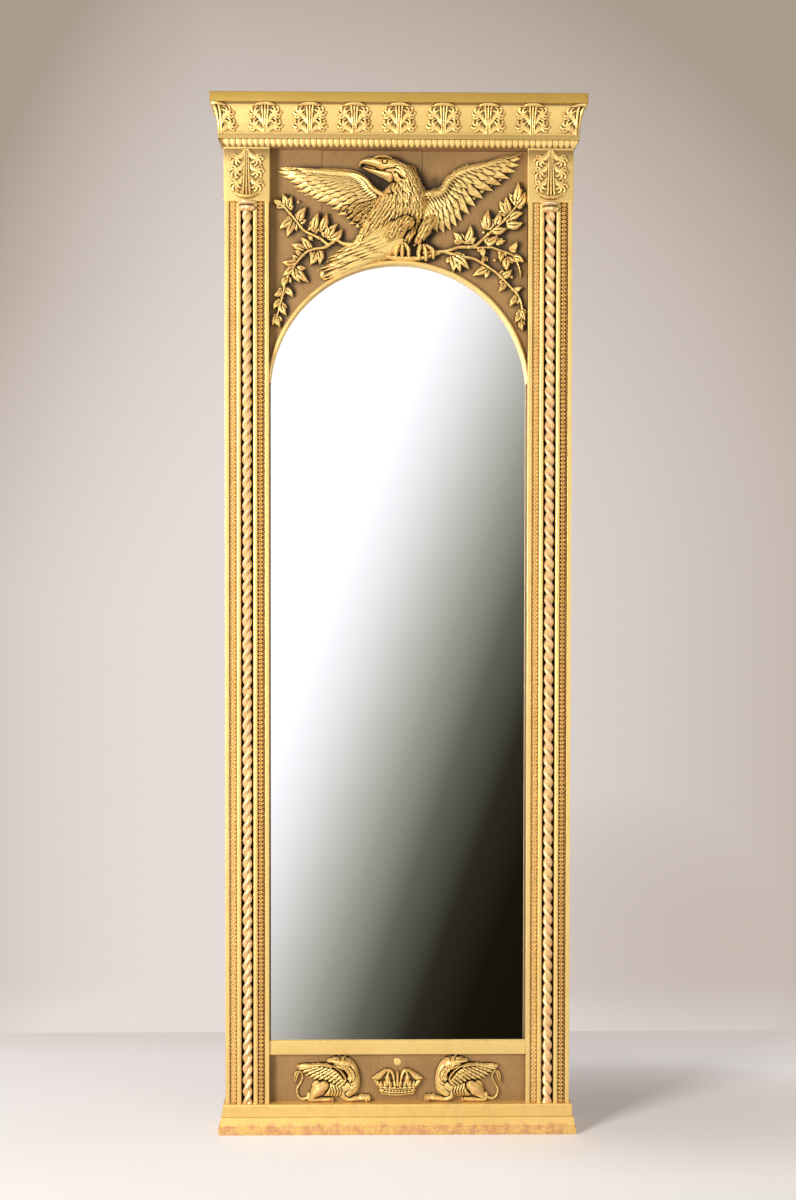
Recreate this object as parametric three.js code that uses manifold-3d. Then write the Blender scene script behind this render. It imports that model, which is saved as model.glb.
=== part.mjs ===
// A tall gilded pier mirror: an arched plate between two pilasters, an eagle panel above,
// a griffin panel below, a leaf-carved cornice and a stepped base.
// Millimetres, +Z up. The front faces -Y, and a depth is measured forward from the back plane.
import * as THREE from 'three';
import { mergeVertices } from 'three/addons/utils/BufferGeometryUtils.js';
import Module from 'manifold-3d';

const wasm = await Module();
wasm.setup();

// ---------------------------------------------------------------- driving sizes
const OVERALL_HEIGHT = 2400;
const SHAFT_HALF_SPAN = 400; // centre line to the outer edge of a pilaster
const FILLET_WIDTH = 9.5; // pilaster section, from each edge inwards
const BAND_WIDTH = 16.5;
const ASTRAGAL_WIDTH = 11;
const CHANNEL_WIDTH = 27.4;

const STILE_DEPTH = 60; // depth of the plain stiles at the back
const PILASTER_THICKNESS = 32;
const BAND_GROOVE = 6; // how deep the bead bands are let in
const BAND_RISE = 5; // a bead band above its groove's floor
const CHANNEL_DEPTH = 18; // how deep the rope channel is cut
const BLOCK_PROUD = 3; // capital block in front of the pilaster
const BLOCK_SIDE_PROUD = 2;

const EAGLE_GROUND_RECESS = 26; // behind the pilaster front
const GRIFFIN_GROUND_RECESS = 20;
const GROUND_THICKNESS = 12;
const SIGHT_RAIL_RECESS = 6;
const PLATE_THICKNESS = 5;
const RAIL_THICKNESS = 25;
const BACK_BOARD_THICKNESS = 10;
const PLATE_REBATE = 12; // how far the plate and rails lap behind a pilaster

const SLAB_THICKNESS = 22.5; // cornice, from the top down
const COVE_HEIGHT = 68.5;
const CORNICE_FILLET_HEIGHT = 12;
const LEAF_TIP_HEIGHT = 16.5;
const SLAB_PROUD = 31.5; // each beyond the pilaster
const COVE_TOP_PROUD = 24;
const COVE_FOOT_PROUD = 9;
const CORNICE_FILLET_PROUD = 14;
const LEAF_TIP_TOP_PROUD = 10;
const LEAF_TIP_FOOT_PROUD = 3;

const BLOCK_HEIGHT = 123;
const LEAF_MARGIN = 6; // block left bare above and below the capital's leaf
const CAP_HEIGHT = 22.5;
const CAP_RADIUS = 24;
const BASE_HEIGHT = 68.8;
const BASE_STEP_Z = 39.7; // foot of the upper member
const BASE_FOOT_Z = 18.9; // top of the foot
const BASE_TOP_PROUD = 5;
const BASE_MIDDLE_PROUD = 10;
const BASE_BATTER = 3;
const BASE_FOOT_PROUD = 15.5;
const SIGHT_RAIL_FOOT = 182;
const SIGHT_RAIL_HEIGHT = 34.5;
const SIGHT_RAIL_BEVEL = 5;

const EAGLE_PANEL_HEIGHT = 262; // from the arch's crown to the cornice
const ARCH_MARGIN = 1.1; // arch radius inside the opening's half width
const ARCH_FILLET_WIDTH = 9;
const ARCH_FILLET_PROUD = 9; // in front of the eagle's ground
const ARCH_TAIL = 23; // how far above the spring the fillet runs out
const GROUND_SEAMS = [-177.4, 54]; // joints between the three ground boards

const ROPE_LEAD = 53.4; // one full turn of the two strands
const ROPE_MAJOR = 11.3; // half of the section's long and short ways
const ROPE_MINOR = 7.8;
const ROPE_STEPS_PER_TURN = 6;

const PLATE_TOP_COVER = 43; // plate above the arch's crown
const PLATE_FOOT_COVER = 12.5; // plate below the sight rail's top
const BATTEN_WIDTH = 20;
const BACK_BOARD_COUNT = 4;
const BACK_BOARD_FOOT_Z = 40;
const BACK_BOARD_LAP = 60; // onto the top rail

const COVE_LEAF_PITCH = 102;
const COVE_LEAF_COUNT = 7;
const COVE_LEAF_WIDTH = 78;
const LEAF_STRIP = 4; // height of the strip that the cove leaves grow from
const LEAF_STRIP_PROUD = 2.5;

const HANGER_SPAN = 150; // each ring's distance from the centre line
const HANGER_DROP = 150; // hinge below the top
const HANGER_PLATE_WIDTH = 24;
const HANGER_PLATE_HEIGHT = 64;
const HANGER_PLATE_THICKNESS = 3;
const HANGER_RING_RADIUS = 20;
const HANGER_WIRE_RADIUS = 2.5;
const HANGER_KNUCKLE_WIDTH = 8;
const HANGER_KNUCKLE_WALL = 2.4;

const CLEARANCE = 0.3; // between pieces that meet on slanted or curved faces
const RING_CLEARANCE = 0.9; // wire in its knuckle
const GLASS_CLEARANCE = 1.5; // plate edge in its rebate

// ---------------------------------------------------------------- worked-out sizes
const PILASTER_WIDTH = 2 * (FILLET_WIDTH + BAND_WIDTH + ASTRAGAL_WIDTH) + CHANNEL_WIDTH;
const OPENING_HALF = SHAFT_HALF_SPAN - PILASTER_WIDTH;
const ROPE_X = SHAFT_HALF_SPAN - PILASTER_WIDTH / 2;
const FRONT_DEPTH = STILE_DEPTH + PILASTER_THICKNESS;
const OVERALL_DEPTH = FRONT_DEPTH + SLAB_PROUD;
const CHANNEL_FLOOR = FRONT_DEPTH - CHANNEL_DEPTH;
const BAND_FLOOR = FRONT_DEPTH - BAND_GROOVE;
const BLOCK_FRONT = FRONT_DEPTH + BLOCK_PROUD;
const ROPE_DEPTH = CHANNEL_FLOOR + ROPE_MAJOR + CLEARANCE;
const EAGLE_GROUND = FRONT_DEPTH - EAGLE_GROUND_RECESS;
const GRIFFIN_GROUND = FRONT_DEPTH - GRIFFIN_GROUND_RECESS;
const PLATE_FRONT = EAGLE_GROUND - GROUND_THICKNESS;
const PLATE_BACK = PLATE_FRONT - PLATE_THICKNESS;
const RAIL_BACK = PLATE_FRONT - RAIL_THICKNESS;
const BOARD_BACK = RAIL_BACK - BACK_BOARD_THICKNESS;
const REBATE_HALF = OPENING_HALF + PLATE_REBATE;

const SLAB_Z = OVERALL_HEIGHT - SLAB_THICKNESS;
const COVE_Z = SLAB_Z - COVE_HEIGHT;
const CORNICE_FILLET_Z = COVE_Z - CORNICE_FILLET_HEIGHT;
const CORNICE_Z = CORNICE_FILLET_Z - LEAF_TIP_HEIGHT;
const BLOCK_Z = CORNICE_Z - BLOCK_HEIGHT;
const CAP_Z = BLOCK_Z - CAP_HEIGHT;
const SIGHT_RAIL_TOP = SIGHT_RAIL_FOOT + SIGHT_RAIL_HEIGHT;

const ARCH_RADIUS = OPENING_HALF - ARCH_MARGIN;
const ARCH_OUTER_RADIUS = ARCH_RADIUS + ARCH_FILLET_WIDTH;
const ARCH_CROWN_Z = CORNICE_Z - EAGLE_PANEL_HEIGHT;
const ARCH_SPRING_Z = ARCH_CROWN_Z - ARCH_RADIUS;
const ARCH_FILLET_FRONT = EAGLE_GROUND + ARCH_FILLET_PROUD;
const INNER_HALF = OPENING_HALF - CLEARANCE;
const PLATE_Z = SIGHT_RAIL_TOP - PLATE_FOOT_COVER;
const PLATE_TOP_Z = ARCH_CROWN_Z + PLATE_TOP_COVER;

const HANGER_RING_Z = OVERALL_HEIGHT - HANGER_DROP;
const RING_DEPTH = RAIL_BACK - HANGER_PLATE_THICKNESS - HANGER_WIRE_RADIUS - RING_CLEARANCE;

// ---------------------------------------------------------------- finishes
const gold = new THREE.MeshStandardMaterial({ color: 0xe0bf66, roughness: 0.42, metalness: 0.75 });
const carvedGold = new THREE.MeshStandardMaterial({ color: 0xd8b45a, roughness: 0.4, metalness: 0.8 });
const bronzedGround = new THREE.MeshStandardMaterial({ color: 0x96784a, roughness: 0.7, metalness: 0.2 });
const silvered = new THREE.MeshStandardMaterial({ color: 0xf2f4f2, roughness: 0.03, metalness: 1 });
const pine = new THREE.MeshStandardMaterial({ color: 0x9a7448, roughness: 0.8, metalness: 0 });
const iron = new THREE.MeshStandardMaterial({ color: 0x3b3733, roughness: 0.6, metalness: 0.8 });

const mirror = new THREE.Group();
const frame = new THREE.Group();
frame.position.set(0, OVERALL_DEPTH / 2, 0);
mirror.add(frame);

function addPiece(name, geometry, material) {
  const mesh = new THREE.Mesh(geometry, material);
  mesh.name = name;
  frame.add(mesh);
  return mesh;
}

// ---------------------------------------------------------------- shapes
// A board between two widths, two depths and two heights.
function board(xLow, xHigh, depthLow, depthHigh, zLow, zHigh) {
  const geometry = new THREE.BoxGeometry(xHigh - xLow, depthHigh - depthLow, zHigh - zLow);
  return geometry.translate((xLow + xHigh) / 2, -(depthLow + depthHigh) / 2, (zLow + zHigh) / 2);
}

// An outline of [x, depth] points, carried straight up.
function upright(outline, zLow, zHigh) {
  const shape = new THREE.Shape(outline.map(([x, depth]) => new THREE.Vector2(x, -depth)));
  const geometry = new THREE.ExtrudeGeometry(shape, { depth: zHigh - zLow, bevelEnabled: false });
  return geometry.translate(0, 0, zLow);
}

// A shape drawn on the front elevation, [x, z], with a thickness in depth.
function elevation(shape, depthLow, depthHigh, curveSegments = 24) {
  const settings = { depth: depthHigh - depthLow, bevelEnabled: false, curveSegments };
  const geometry = new THREE.ExtrudeGeometry(shape, settings);
  return geometry.translate(0, 0, depthLow).rotateX(Math.PI / 2);
}

// Turns a closed geometry right side out, by the sign of its volume.
function facingOut(geometry) {
  const position = geometry.getAttribute('position');
  const index = geometry.getIndex().array;
  const corners = [new THREE.Vector3(), new THREE.Vector3(), new THREE.Vector3()];
  let volume = 0;
  for (let at = 0; at < index.length; at += 3) {
    corners.forEach((corner, k) => corner.fromBufferAttribute(position, index[at + k]));
    volume += corners[0].dot(corners[1].clone().cross(corners[2]));
  }
  if (volume < 0) {
    for (let at = 0; at < index.length; at += 3) {
      [index[at], index[at + 1]] = [index[at + 1], index[at]];
    }
  }
  return geometry;
}

function closedGeometry(points, triangles) {
  const geometry = new THREE.BufferGeometry();
  geometry.setAttribute('position', new THREE.Float32BufferAttribute(points.flat(), 3));
  geometry.setIndex(triangles.flat());
  return facingOut(geometry);
}

// A profile of [proud, z] points carried from one end to the other; each end places a point.
function mouldingRun(profile, startPoint, endPoint) {
  const contour = profile.map(([proud, z]) => new THREE.Vector2(proud, z));
  if (THREE.ShapeUtils.isClockWise(contour)) {
    contour.reverse();
  }
  const count = contour.length;
  const points = [
    ...contour.map(({ x, y }) => startPoint(x, y)),
    ...contour.map(({ x, y }) => endPoint(x, y)),
  ];
  const triangles = [];
  for (let k = 0; k < count; k += 1) {
    const next = (k + 1) % count;
    triangles.push([k, next, count + next], [k, count + next, count + k]);
  }
  THREE.ShapeUtils.triangulateShape(contour, []).forEach(([a, b, c]) => {
    triangles.push([a, c, b], [count + a, count + b, count + c]);
  });
  return closedGeometry(points, triangles);
}

// Front, left and right runs of a moulding that is mitred at the two front corners.
function frontRun(profile, mitreGap = 0) {
  const place = (side) => (proud, z) => [
    side * (SHAFT_HALF_SPAN + proud - mitreGap), -(FRONT_DEPTH + proud), z];
  return mouldingRun(profile, place(-1), place(1));
}

function returnRun(profile, side, mitreGap = CLEARANCE) {
  return mouldingRun(
    profile,
    (proud, z) => [side * (SHAFT_HALF_SPAN + proud), 0, z],
    (proud, z) => [side * (SHAFT_HALF_SPAN + proud), -(FRONT_DEPTH + proud - mitreGap), z],
  );
}

// A carved blade. Each station is [x, depth, z, half width, rise]; the ring there is a flat
// oval that rises `rise` towards `facing` and `back` times that the other way. `across` is
// the direction of its width, or else the width lies square to the spine on the elevation.
const forward = new THREE.Vector3(0, -1, 0);
function blade(stations, { sides = 4, back = 0.6, across = null, facing = forward } = {}) {
  const spine = stations.map(([x, depth, z]) => new THREE.Vector3(x, -depth, z));
  const points = [];
  const rings = stations.map(([, , , half, rise], k) => {
    const tangent = spine[Math.min(k + 1, spine.length - 1)].clone();
    tangent.sub(spine[Math.max(k - 1, 0)]).normalize();
    const wide = across ? across.clone() : new THREE.Vector3().crossVectors(forward, tangent).normalize();
    const out = new THREE.Vector3().crossVectors(tangent, wide).normalize();
    if (out.dot(facing) < 0) {
      out.negate();
    }
    const first = points.length;
    if (half === 0) {
      points.push(spine[k].toArray());
      return [first];
    }
    for (let s = 0; s < sides; s += 1) {
      const angle = (2 * Math.PI * s) / sides;
      const lift = Math.sin(angle) * (Math.sin(angle) > 0 ? rise : rise * back);
      const point = spine[k].clone().addScaledVector(wide, half * Math.cos(angle));
      points.push(point.addScaledVector(out, lift).toArray());
    }
    return Array.from({ length: sides }, (_, s) => first + s);
  });
  const triangles = [];
  const close = (ring, turned) => {
    for (let s = 1; s < ring.length - 1; s += 1) {
      triangles.push(turned ? [ring[0], ring[s + 1], ring[s]] : [ring[0], ring[s], ring[s + 1]]);
    }
  };
  close(rings[0], true);
  close(rings[rings.length - 1], false);
  for (let k = 0; k < rings.length - 1; k += 1) {
    const [low, high] = [rings[k], rings[k + 1]];
    for (let s = 0; s < sides; s += 1) {
      const next = (s + 1) % sides;
      if (low.length > 1) {
        triangles.push([low[s], low[next], high[high.length > 1 ? next : 0]]);
      }
      if (high.length > 1) {
        triangles.push([low[low.length > 1 ? s : 0], high[next], high[s]]);
      }
    }
  }
  return closedGeometry(points, triangles);
}

// ---------------------------------------------------------------- joining and cutting
function toSolid(geometry) {
  const bare = geometry.clone();
  bare.deleteAttribute('normal');
  bare.deleteAttribute('uv');
  const merged = mergeVertices(bare, 1e-4);
  return new wasm.Manifold(new wasm.Mesh({
    numProp: 3,
    vertProperties: new Float32Array(merged.getAttribute('position').array),
    triVerts: new Uint32Array(merged.getIndex().array),
  }));
}

function toGeometry(solid) {
  const mesh = solid.getMesh();
  const geometry = new THREE.BufferGeometry();
  geometry.setAttribute('position', new THREE.BufferAttribute(new Float32Array(mesh.vertProperties), 3));
  geometry.setIndex(new THREE.BufferAttribute(new Uint32Array(mesh.triVerts), 1));
  return geometry;
}

const joined = (geometries) => geometries.map(toSolid).reduce((sum, piece) => sum.add(piece));
const cutBy = (solid, geometries) => geometries.map(toSolid)
  .reduce((left, tool) => left.subtract(tool), solid);

// The space in front of a panel's ground, between the pilasters: what a carving may fill.
function panelSpace(groundDepth, zLow, zHigh) {
  return toSolid(board(-INNER_HALF, INNER_HALF, groundDepth, OVERALL_DEPTH, zLow, zHigh));
}

const SIDES = [['left', -1], ['right', 1]];

// ---------------------------------------------------------------- carcass
function addCarcass() {
  SIDES.forEach(([side, sign]) => {
    const outline = [
      [SHAFT_HALF_SPAN, 0],
      [SHAFT_HALF_SPAN, STILE_DEPTH],
      [OPENING_HALF, STILE_DEPTH],
      [OPENING_HALF, PLATE_FRONT],
      [REBATE_HALF, PLATE_FRONT],
      [REBATE_HALF, 0],
    ].map(([x, depth]) => [sign * x, depth]);
    addPiece(`carcass_stile_${side}`, upright(outline, 0, SLAB_Z), pine);
  });
  addPiece('carcass_bottom_rail',
    board(-REBATE_HALF, REBATE_HALF, RAIL_BACK, PLATE_FRONT, 0, PLATE_Z), pine);
  addPiece('carcass_top_rail',
    board(-REBATE_HALF, REBATE_HALF, RAIL_BACK, PLATE_FRONT, PLATE_TOP_Z + CLEARANCE, SLAB_Z), pine);
  const plateHalf = REBATE_HALF - GLASS_CLEARANCE;
  addPiece('mirror_plate',
    board(-plateHalf, plateHalf, PLATE_BACK, PLATE_FRONT, PLATE_Z, PLATE_TOP_Z), silvered);
  SIDES.forEach(([side, sign]) => {
    const edges = [sign * REBATE_HALF, sign * (REBATE_HALF - BATTEN_WIDTH)].sort((a, b) => a - b);
    addPiece(`plate_batten_${side}`,
      board(edges[0], edges[1], RAIL_BACK, PLATE_BACK, PLATE_Z, PLATE_TOP_Z), pine);
  });
  const boardWidth = (2 * REBATE_HALF) / BACK_BOARD_COUNT;
  for (let k = 0; k < BACK_BOARD_COUNT; k += 1) {
    const low = -REBATE_HALF + k * boardWidth;
    addPiece(`back_board_${k + 1}`,
      board(low + CLEARANCE, low + boardWidth - CLEARANCE, BOARD_BACK, RAIL_BACK,
        BACK_BOARD_FOOT_Z, PLATE_TOP_Z + BACK_BOARD_LAP), pine);
  }
}

// ---------------------------------------------------------------- grounds, arch and sight rail
function addPanels() {
  const cutRadius = ARCH_OUTER_RADIUS + CLEARANCE;
  const edges = [-INNER_HALF, ...GROUND_SEAMS, INNER_HALF];
  ['left', 'centre', 'right'].forEach((place, k) => {
    const low = edges[k] + (k > 0 ? CLEARANCE / 2 : 0);
    const high = edges[k + 1] - (k < 2 ? CLEARANCE / 2 : 0);
    const shape = new THREE.Shape();
    shape.moveTo(high, CORNICE_Z);
    shape.lineTo(low, CORNICE_Z);
    shape.absarc(0, ARCH_SPRING_Z, cutRadius, Math.acos(low / cutRadius), Math.acos(high / cutRadius), true);
    addPiece(`eagle_ground_${place}`, elevation(shape, PLATE_FRONT, EAGLE_GROUND, 7), bronzedGround);
  });
  SIDES.forEach(([side, sign]) => {
    const tailAngle = Math.asin(ARCH_TAIL / ARCH_RADIUS);
    const meetAngle = Math.acos(INNER_HALF / ARCH_OUTER_RADIUS);
    const shape = new THREE.Shape();
    const right = sign > 0;
    const turn = (angle) => (right ? angle : Math.PI - angle);
    shape.moveTo(0, ARCH_SPRING_Z + ARCH_OUTER_RADIUS);
    shape.absarc(0, ARCH_SPRING_Z, ARCH_OUTER_RADIUS, Math.PI / 2, turn(meetAngle), right);
    shape.lineTo(sign * INNER_HALF, ARCH_SPRING_Z + ARCH_TAIL);
    shape.absarc(0, ARCH_SPRING_Z, ARCH_RADIUS, turn(tailAngle), Math.PI / 2, !right);
    addPiece(`arch_fillet_${side}`, elevation(shape, PLATE_FRONT, ARCH_FILLET_FRONT, 8), gold);
  });
  const railFront = FRONT_DEPTH - SIGHT_RAIL_RECESS;
  const railOutline = [
    [PLATE_FRONT, SIGHT_RAIL_FOOT],
    [railFront, SIGHT_RAIL_FOOT],
    [railFront, SIGHT_RAIL_TOP - SIGHT_RAIL_BEVEL],
    [railFront - SIGHT_RAIL_BEVEL, SIGHT_RAIL_TOP],
    [PLATE_FRONT, SIGHT_RAIL_TOP],
  ];
  addPiece('sight_rail',
    mouldingRun(railOutline, (depth, z) => [-INNER_HALF, -depth, z], (depth, z) => [INNER_HALF, -depth, z]),
    gold);
  addPiece('griffin_ground',
    board(-INNER_HALF, INNER_HALF, PLATE_FRONT, GRIFFIN_GROUND, BASE_HEIGHT, SIGHT_RAIL_FOOT), bronzedGround);
}

// ---------------------------------------------------------------- pilasters
// Section from the outer edge inwards: fillet, band groove, astragal, rope channel, and back.
function pilasterOutline(sign) {
  const widths = [
    [FILLET_WIDTH, FRONT_DEPTH],
    [BAND_WIDTH, BAND_FLOOR],
    [ASTRAGAL_WIDTH, FRONT_DEPTH],
    [CHANNEL_WIDTH, CHANNEL_FLOOR],
    [ASTRAGAL_WIDTH, FRONT_DEPTH],
    [BAND_WIDTH, BAND_FLOOR],
    [FILLET_WIDTH, FRONT_DEPTH],
  ];
  const outline = [[SHAFT_HALF_SPAN, STILE_DEPTH]];
  let x = SHAFT_HALF_SPAN;
  widths.forEach(([width, depth]) => {
    outline.push([x, depth], [x - width, depth]);
    x -= width;
  });
  outline.push([OPENING_HALF, STILE_DEPTH]);
  return outline.map(([px, depth]) => [sign * px, depth]);
}

// Two strands laid together: an oval section that turns as it climbs.
function ropeColumn(sign) {
  const height = CAP_Z - BASE_HEIGHT;
  const steps = Math.round((height / ROPE_LEAD) * ROPE_STEPS_PER_TURN);
  const section = [[ROPE_MAJOR, 0], [0, ROPE_MINOR], [-ROPE_MAJOR, 0], [0, -ROPE_MINOR]];
  const points = [];
  const triangles = [];
  for (let k = 0; k <= steps; k += 1) {
    const climb = (height * k) / steps;
    const turn = (sign * 2 * Math.PI * climb) / ROPE_LEAD;
    section.forEach(([u, v]) => {
      points.push([
        sign * ROPE_X + u * Math.cos(turn) - v * Math.sin(turn),
        -ROPE_DEPTH + u * Math.sin(turn) + v * Math.cos(turn),
        BASE_HEIGHT + climb,
      ]);
    });
  }
  const count = section.length;
  for (let k = 0; k < steps; k += 1) {
    for (let s = 0; s < count; s += 1) {
      const low = k * count;
      const high = low + count;
      const next = (s + 1) % count;
      triangles.push([low + s, low + next, high + next], [low + s, high + next, high + s]);
    }
  }
  const top = steps * count;
  triangles.push([0, 2, 1], [0, 3, 2], [top, top + 1, top + 2], [top, top + 2, top + 3]);
  return closedGeometry(points, triangles);
}

// A hanging leaf in tiers of drooping lobes, its tip curled forward. Widths and rises are in
// hundredths of the pilaster's width, and drops are shares of the leaf's length.
function capitalLeaf(sign) {
  const unit = PILASTER_WIDTH / 100;
  const top = CORNICE_Z - LEAF_MARGIN;
  const length = BLOCK_HEIGHT - 2 * LEAF_MARGIN;
  const centre = sign * ROPE_X;
  const lobe = (stations, back) => blade(stations.map(([across, drop, lift, half, rise]) => [
    centre + across * unit,
    BLOCK_FRONT + lift * unit,
    top - drop * length,
    half * unit,
    rise * unit,
  ]), { back });
  const middle = lobe([
    [0, 0, 0, 9, 5], [0, 0.35, 0, 15, 11], [0, 0.7, 0, 19, 15], [0, 0.93, 5, 15, 12], [0, 1, 9, 6, 5],
  ], 0.2);
  const tiers = [[0.12, 0.36, 30], [0.36, 0.62, 38], [0.6, 0.9, 41]];
  const lobes = tiers.flatMap(([start, end, reach]) => [-1, 1].map((hand) => lobe([
    [hand * 4, start, 0, 8, 6],
    [hand * 0.6 * reach, start + 0.02, 2, 13, 8],
    [hand * 0.92 * reach, start * 0.45 + end * 0.55, 2, 10, 7],
    [hand * reach, end, 3, 0, 0],
  ], 0.3)));
  const space = board(centre - PILASTER_WIDTH / 2, centre + PILASTER_WIDTH / 2,
    BLOCK_FRONT, OVERALL_DEPTH, BLOCK_Z, CORNICE_Z);
  return toGeometry(joined([middle, ...lobes]).intersect(toSolid(space)));
}

// A bell of husks over the head of the rope column, fitted over the two astragals. Its profile
// swells from the rope to the cap's full radius, as shares of that swelling and of its height.
function ropeCap(sign) {
  const swelling = [[0.08, 0], [0.4, 0.25], [0.7, 0.6], [1, 0.85], [0.85, 1]];
  const profile = [
    [0, CAP_Z],
    ...swelling.map(([out, up]) => [ROPE_MAJOR + (CAP_RADIUS - ROPE_MAJOR) * out, CAP_Z + CAP_HEIGHT * up]),
    [0, BLOCK_Z],
  ].map(([radius, z]) => new THREE.Vector2(radius, z));
  const bell = new THREE.LatheGeometry(profile, 20).rotateX(Math.PI / 2);
  bell.translate(sign * ROPE_X, -ROPE_DEPTH, 0);
  const channelHalf = CHANNEL_WIDTH / 2 - CLEARANCE;
  const [below, above] = [CAP_Z - CLEARANCE, BLOCK_Z + CLEARANCE];
  const behind = board(-SHAFT_HALF_SPAN, SHAFT_HALF_SPAN, 0, CHANNEL_FLOOR + CLEARANCE, below, above);
  const cheeks = [-1, 1].map((hand) => {
    const near = sign * ROPE_X + hand * channelHalf;
    const far = sign * ROPE_X + hand * PILASTER_WIDTH;
    return board(Math.min(near, far), Math.max(near, far), 0, FRONT_DEPTH + CLEARANCE, below, above);
  });
  return toGeometry(cutBy(toSolid(bell), [behind, ...cheeks]));
}

function addPilasters() {
  SIDES.forEach(([side, sign]) => {
    addPiece(`pilaster_board_${side}`, upright(pilasterOutline(sign), BASE_HEIGHT, BLOCK_Z), gold);
    const grooves = [
      ['outer', SHAFT_HALF_SPAN - FILLET_WIDTH - BAND_WIDTH / 2],
      ['inner', OPENING_HALF + FILLET_WIDTH + BAND_WIDTH / 2],
    ];
    grooves.forEach(([place, x]) => {
      const half = BAND_WIDTH / 2 - CLEARANCE;
      const dome = [[-1, 0], [-1, 0.3], [-0.6, 0.8], [0, 1], [0.6, 0.8], [1, 0.3], [1, 0]];
      const outline = dome.map(([across, rise]) => [sign * x + across * half, BAND_FLOOR + rise * BAND_RISE]);
      addPiece(`bead_band_${place}_${side}`, upright(outline, BASE_HEIGHT, BLOCK_Z), carvedGold);
    });
    addPiece(`rope_column_${side}`, ropeColumn(sign), carvedGold);
    addPiece(`rope_cap_${side}`, ropeCap(sign), carvedGold);
    const [low, high] = [OPENING_HALF - BLOCK_SIDE_PROUD, SHAFT_HALF_SPAN + BLOCK_SIDE_PROUD]
      .map((x) => sign * x).sort((a, b) => a - b);
    const behindGround = board(-INNER_HALF, INNER_HALF, 0, EAGLE_GROUND + CLEARANCE, CAP_Z, SLAB_Z);
    const block = board(low, high, STILE_DEPTH, BLOCK_FRONT, BLOCK_Z, CORNICE_Z);
    addPiece(`capital_block_${side}`, toGeometry(cutBy(toSolid(block), [behindGround])), gold);
    addPiece(`capital_leaf_${side}`, capitalLeaf(sign), carvedGold);
  });
}

// ---------------------------------------------------------------- cornice
// How far the cove stands out at a share of its height: a hollow that swings out to the slab.
function coveProud(rise) {
  const roundness = 0.97;
  const swing = (share) => 1 - Math.sqrt(1 - (roundness * share) ** 2);
  return COVE_FOOT_PROUD + (COVE_TOP_PROUD - COVE_FOOT_PROUD) * (swing(rise) / swing(1));
}

function coveFace() {
  const steps = 7;
  return Array.from({ length: steps + 1 }, (_, k) => [
    coveProud(k / steps), COVE_Z + (COVE_HEIGHT * k) / steps]);
}

// A leaf blade laid up the cove. Stations are [offset along the wall, share of the cove's
// height, distance off the cove, half width, thickness]; `wall` places [offset, proud].
function coveBlade(wall, stations) {
  const placed = stations.map(([offset, rise, lift, half, thick]) => {
    const [x, depth] = wall.place(offset, coveProud(rise) + CLEARANCE + lift);
    return [x, depth, COVE_Z + CLEARANCE + rise * COVE_HEIGHT, half, thick];
  });
  return blade(placed, { across: wall.across, facing: wall.facing, back: 0 });
}

// The fluted middle of an upright leaf, its tip rolled forward under the slab.
const leafMiddle = (wall) => coveBlade(wall, [
  [0, 0, 0, 10, 4],
  [0, 0.4, 0, 8, 5],
  [0, 0.75, 0.5, 10, 5],
  [0, 0.92, 3, 9, 3],
]);

// Its two lobes to one hand: a tall one and a short one that curls out.
function leafLobes(wall, hand) {
  const half = COVE_LEAF_WIDTH / 2;
  return [[0.1, 0.8, 0.62], [0.02, 0.34, 1]].map(([start, end, reach]) => coveBlade(wall, [
    [hand * 3, start, 0, 7, 3],
    [hand * reach * half * 0.5, start + (end - start) * 0.45, 0.5, 9, 4],
    [hand * reach * half, end, 1.5, 3, 2],
  ]));
}

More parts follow.
